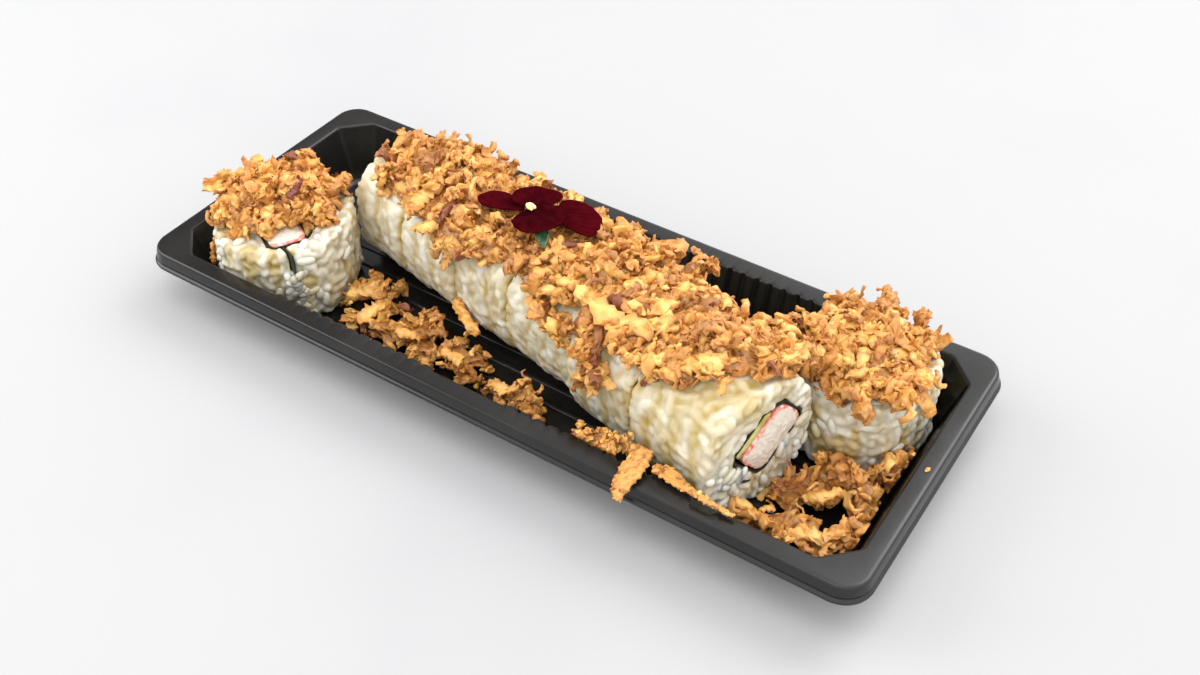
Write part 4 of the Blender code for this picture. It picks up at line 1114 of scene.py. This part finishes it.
# Crumbs: specks of fried onion that fell on the rim and in the tray. With them each sort of
# chip is complete and becomes one piece.
CRUMBS = (
    # place of each crumb's middle and its size
    (60.8, 42.4, 19.1, 2.4), (108.6, -1.5, 18.9, 1.6), (17.5, -33.0, 2.4, 2.2), (-67.1, -30.5, 12.0, 1.8),
    (-44.0, -32.0, 2.0, 2.4), (63.0, -30.0, 1.6, 2.0), (70.0, -22.0, 1.5, 1.8), (-30.0, -30.5, 1.7, 2.0),
)
CRUMB_TONE = 0.7
crumb_rng = np.random.default_rng(77)
upright = np.array((0.0, 0.0, 1.0))
for x, y, z, size in CRUMBS:
    along = chance_along(upright, crumb_rng)
    kind = SORTS["crumbs"][crumb_rng.integers(EACH_SORT)]
    chips["crumbs"].add(kind, np.array((x, y, z)), along, upright, size, CRUMB_TONE, 0.0)
for sort, gathered in chips.items():
    gathered.finished("onion_" + sort)


# Floor, light and camera: a plain pale table in a bright room, wide soft lights from behind on
# the right, from above and from the left, and the view from the front right, well above the tray.
FLOOR_HALF = 3000.0
CAMERA_AT = (161.34, -223.79, 258.91)
CAMERA_LOOKS_AT = (17.74, -5.36, 18.7)
LENS, SENSOR_WIDTH = 40.4, 36.0
LIGHTS = (
    # place, size and power of each soft light, and how much of it shows as gloss
    ((260.0, 480.0, 640.0), 460.0, 3.1, 1.0),
    ((60.0, -200.0, 800.0), 300.0, 1.0, 1.0),
    ((-700.0, -300.0, 500.0), 600.0, 5.2, 0.0),
)
ROOM_LIGHT = ((-0.66, 0.33), (-0.22, 1.7))

floor_mesh = bpy.data.meshes.new("table")
floor_mesh.from_pydata([(x * FLOOR_HALF * MM, y * FLOOR_HALF * MM, 0.0) for x, y in
                        ((-1, -1), (1, -1), (1, 1), (-1, 1))], [], [(0, 1, 2, 3)])
floor = bpy.data.objects.new("table", floor_mesh)
bpy.context.scene.collection.objects.link(floor)
pale = Finish("pale_table", 0.6, Specular_IOR_Level=0.1)
veins = pale.patches(6.0, 0.5, 0.8)
pale.colour(pale.mix(veins.outputs["Mask"], (0.438, 0.438, 0.443), (0.41, 0.41, 0.42)))
floor_mesh.materials.append(pale.material)
floor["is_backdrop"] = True

for number, (place, size, power, gloss) in enumerate(LIGHTS):
    lamp = bpy.data.lights.new(f"soft_light_{number}", "AREA")
    lamp.size = size * MM
    lamp.energy = power
    lamp.specular_factor = gloss
    light = bpy.data.objects.new(f"soft_light_{number}", lamp)
    light.location = Vector(place) * MM
    light.rotation_euler = (-Vector(place)).to_track_quat("-Z", "Y").to_euler()
    bpy.context.scene.collection.objects.link(light)

world = bpy.data.worlds.new("bright_room")
world.use_nodes = True
room_nodes, room_links = world.node_tree.nodes, world.node_tree.links
room_place, room_split = room_nodes.new("ShaderNodeTexCoord"), room_nodes.new("ShaderNodeSeparateXYZ")
room_fall = room_nodes.new("ShaderNodeMapRange")
room_fall.interpolation_type = "SMOOTHSTEP"
for end, (place, strength) in zip(("Min", "Max"), ROOM_LIGHT):
    room_fall.inputs["From " + end].default_value = place
    room_fall.inputs["To " + end].default_value = strength
room_links.new(room_place.outputs["Generated"], room_split.inputs["Vector"])
room_links.new(room_split.outputs["X"], room_fall.inputs["Value"])
room_links.new(room_fall.outputs["Result"], room_nodes["Background"].inputs["Strength"])
room_nodes["Background"].inputs["Color"].default_value = (1.0, 1.0, 1.0, 1.0)
bpy.context.scene.world = world
bpy.context.scene.view_settings.view_transform = "Standard"

camera = bpy.data.objects.new("camera", bpy.data.cameras.new("camera"))
camera.data.lens = LENS
camera.data.sensor_width = SENSOR_WIDTH
camera.data.clip_start = 0.01
camera.location = Vector(CAMERA_AT) * MM
view_line = Vector(CAMERA_LOOKS_AT) - Vector(CAMERA_AT)
camera.rotation_euler = view_line.to_track_quat("-Z", "Y").to_euler()
bpy.context.scene.collection.objects.link(camera)
bpy.context.scene.camera = camera

look_low, look_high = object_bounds()
sizes = {"cad": [list(cad_low), list(cad_high)], "visual": [list(look_low), list(look_high)]}
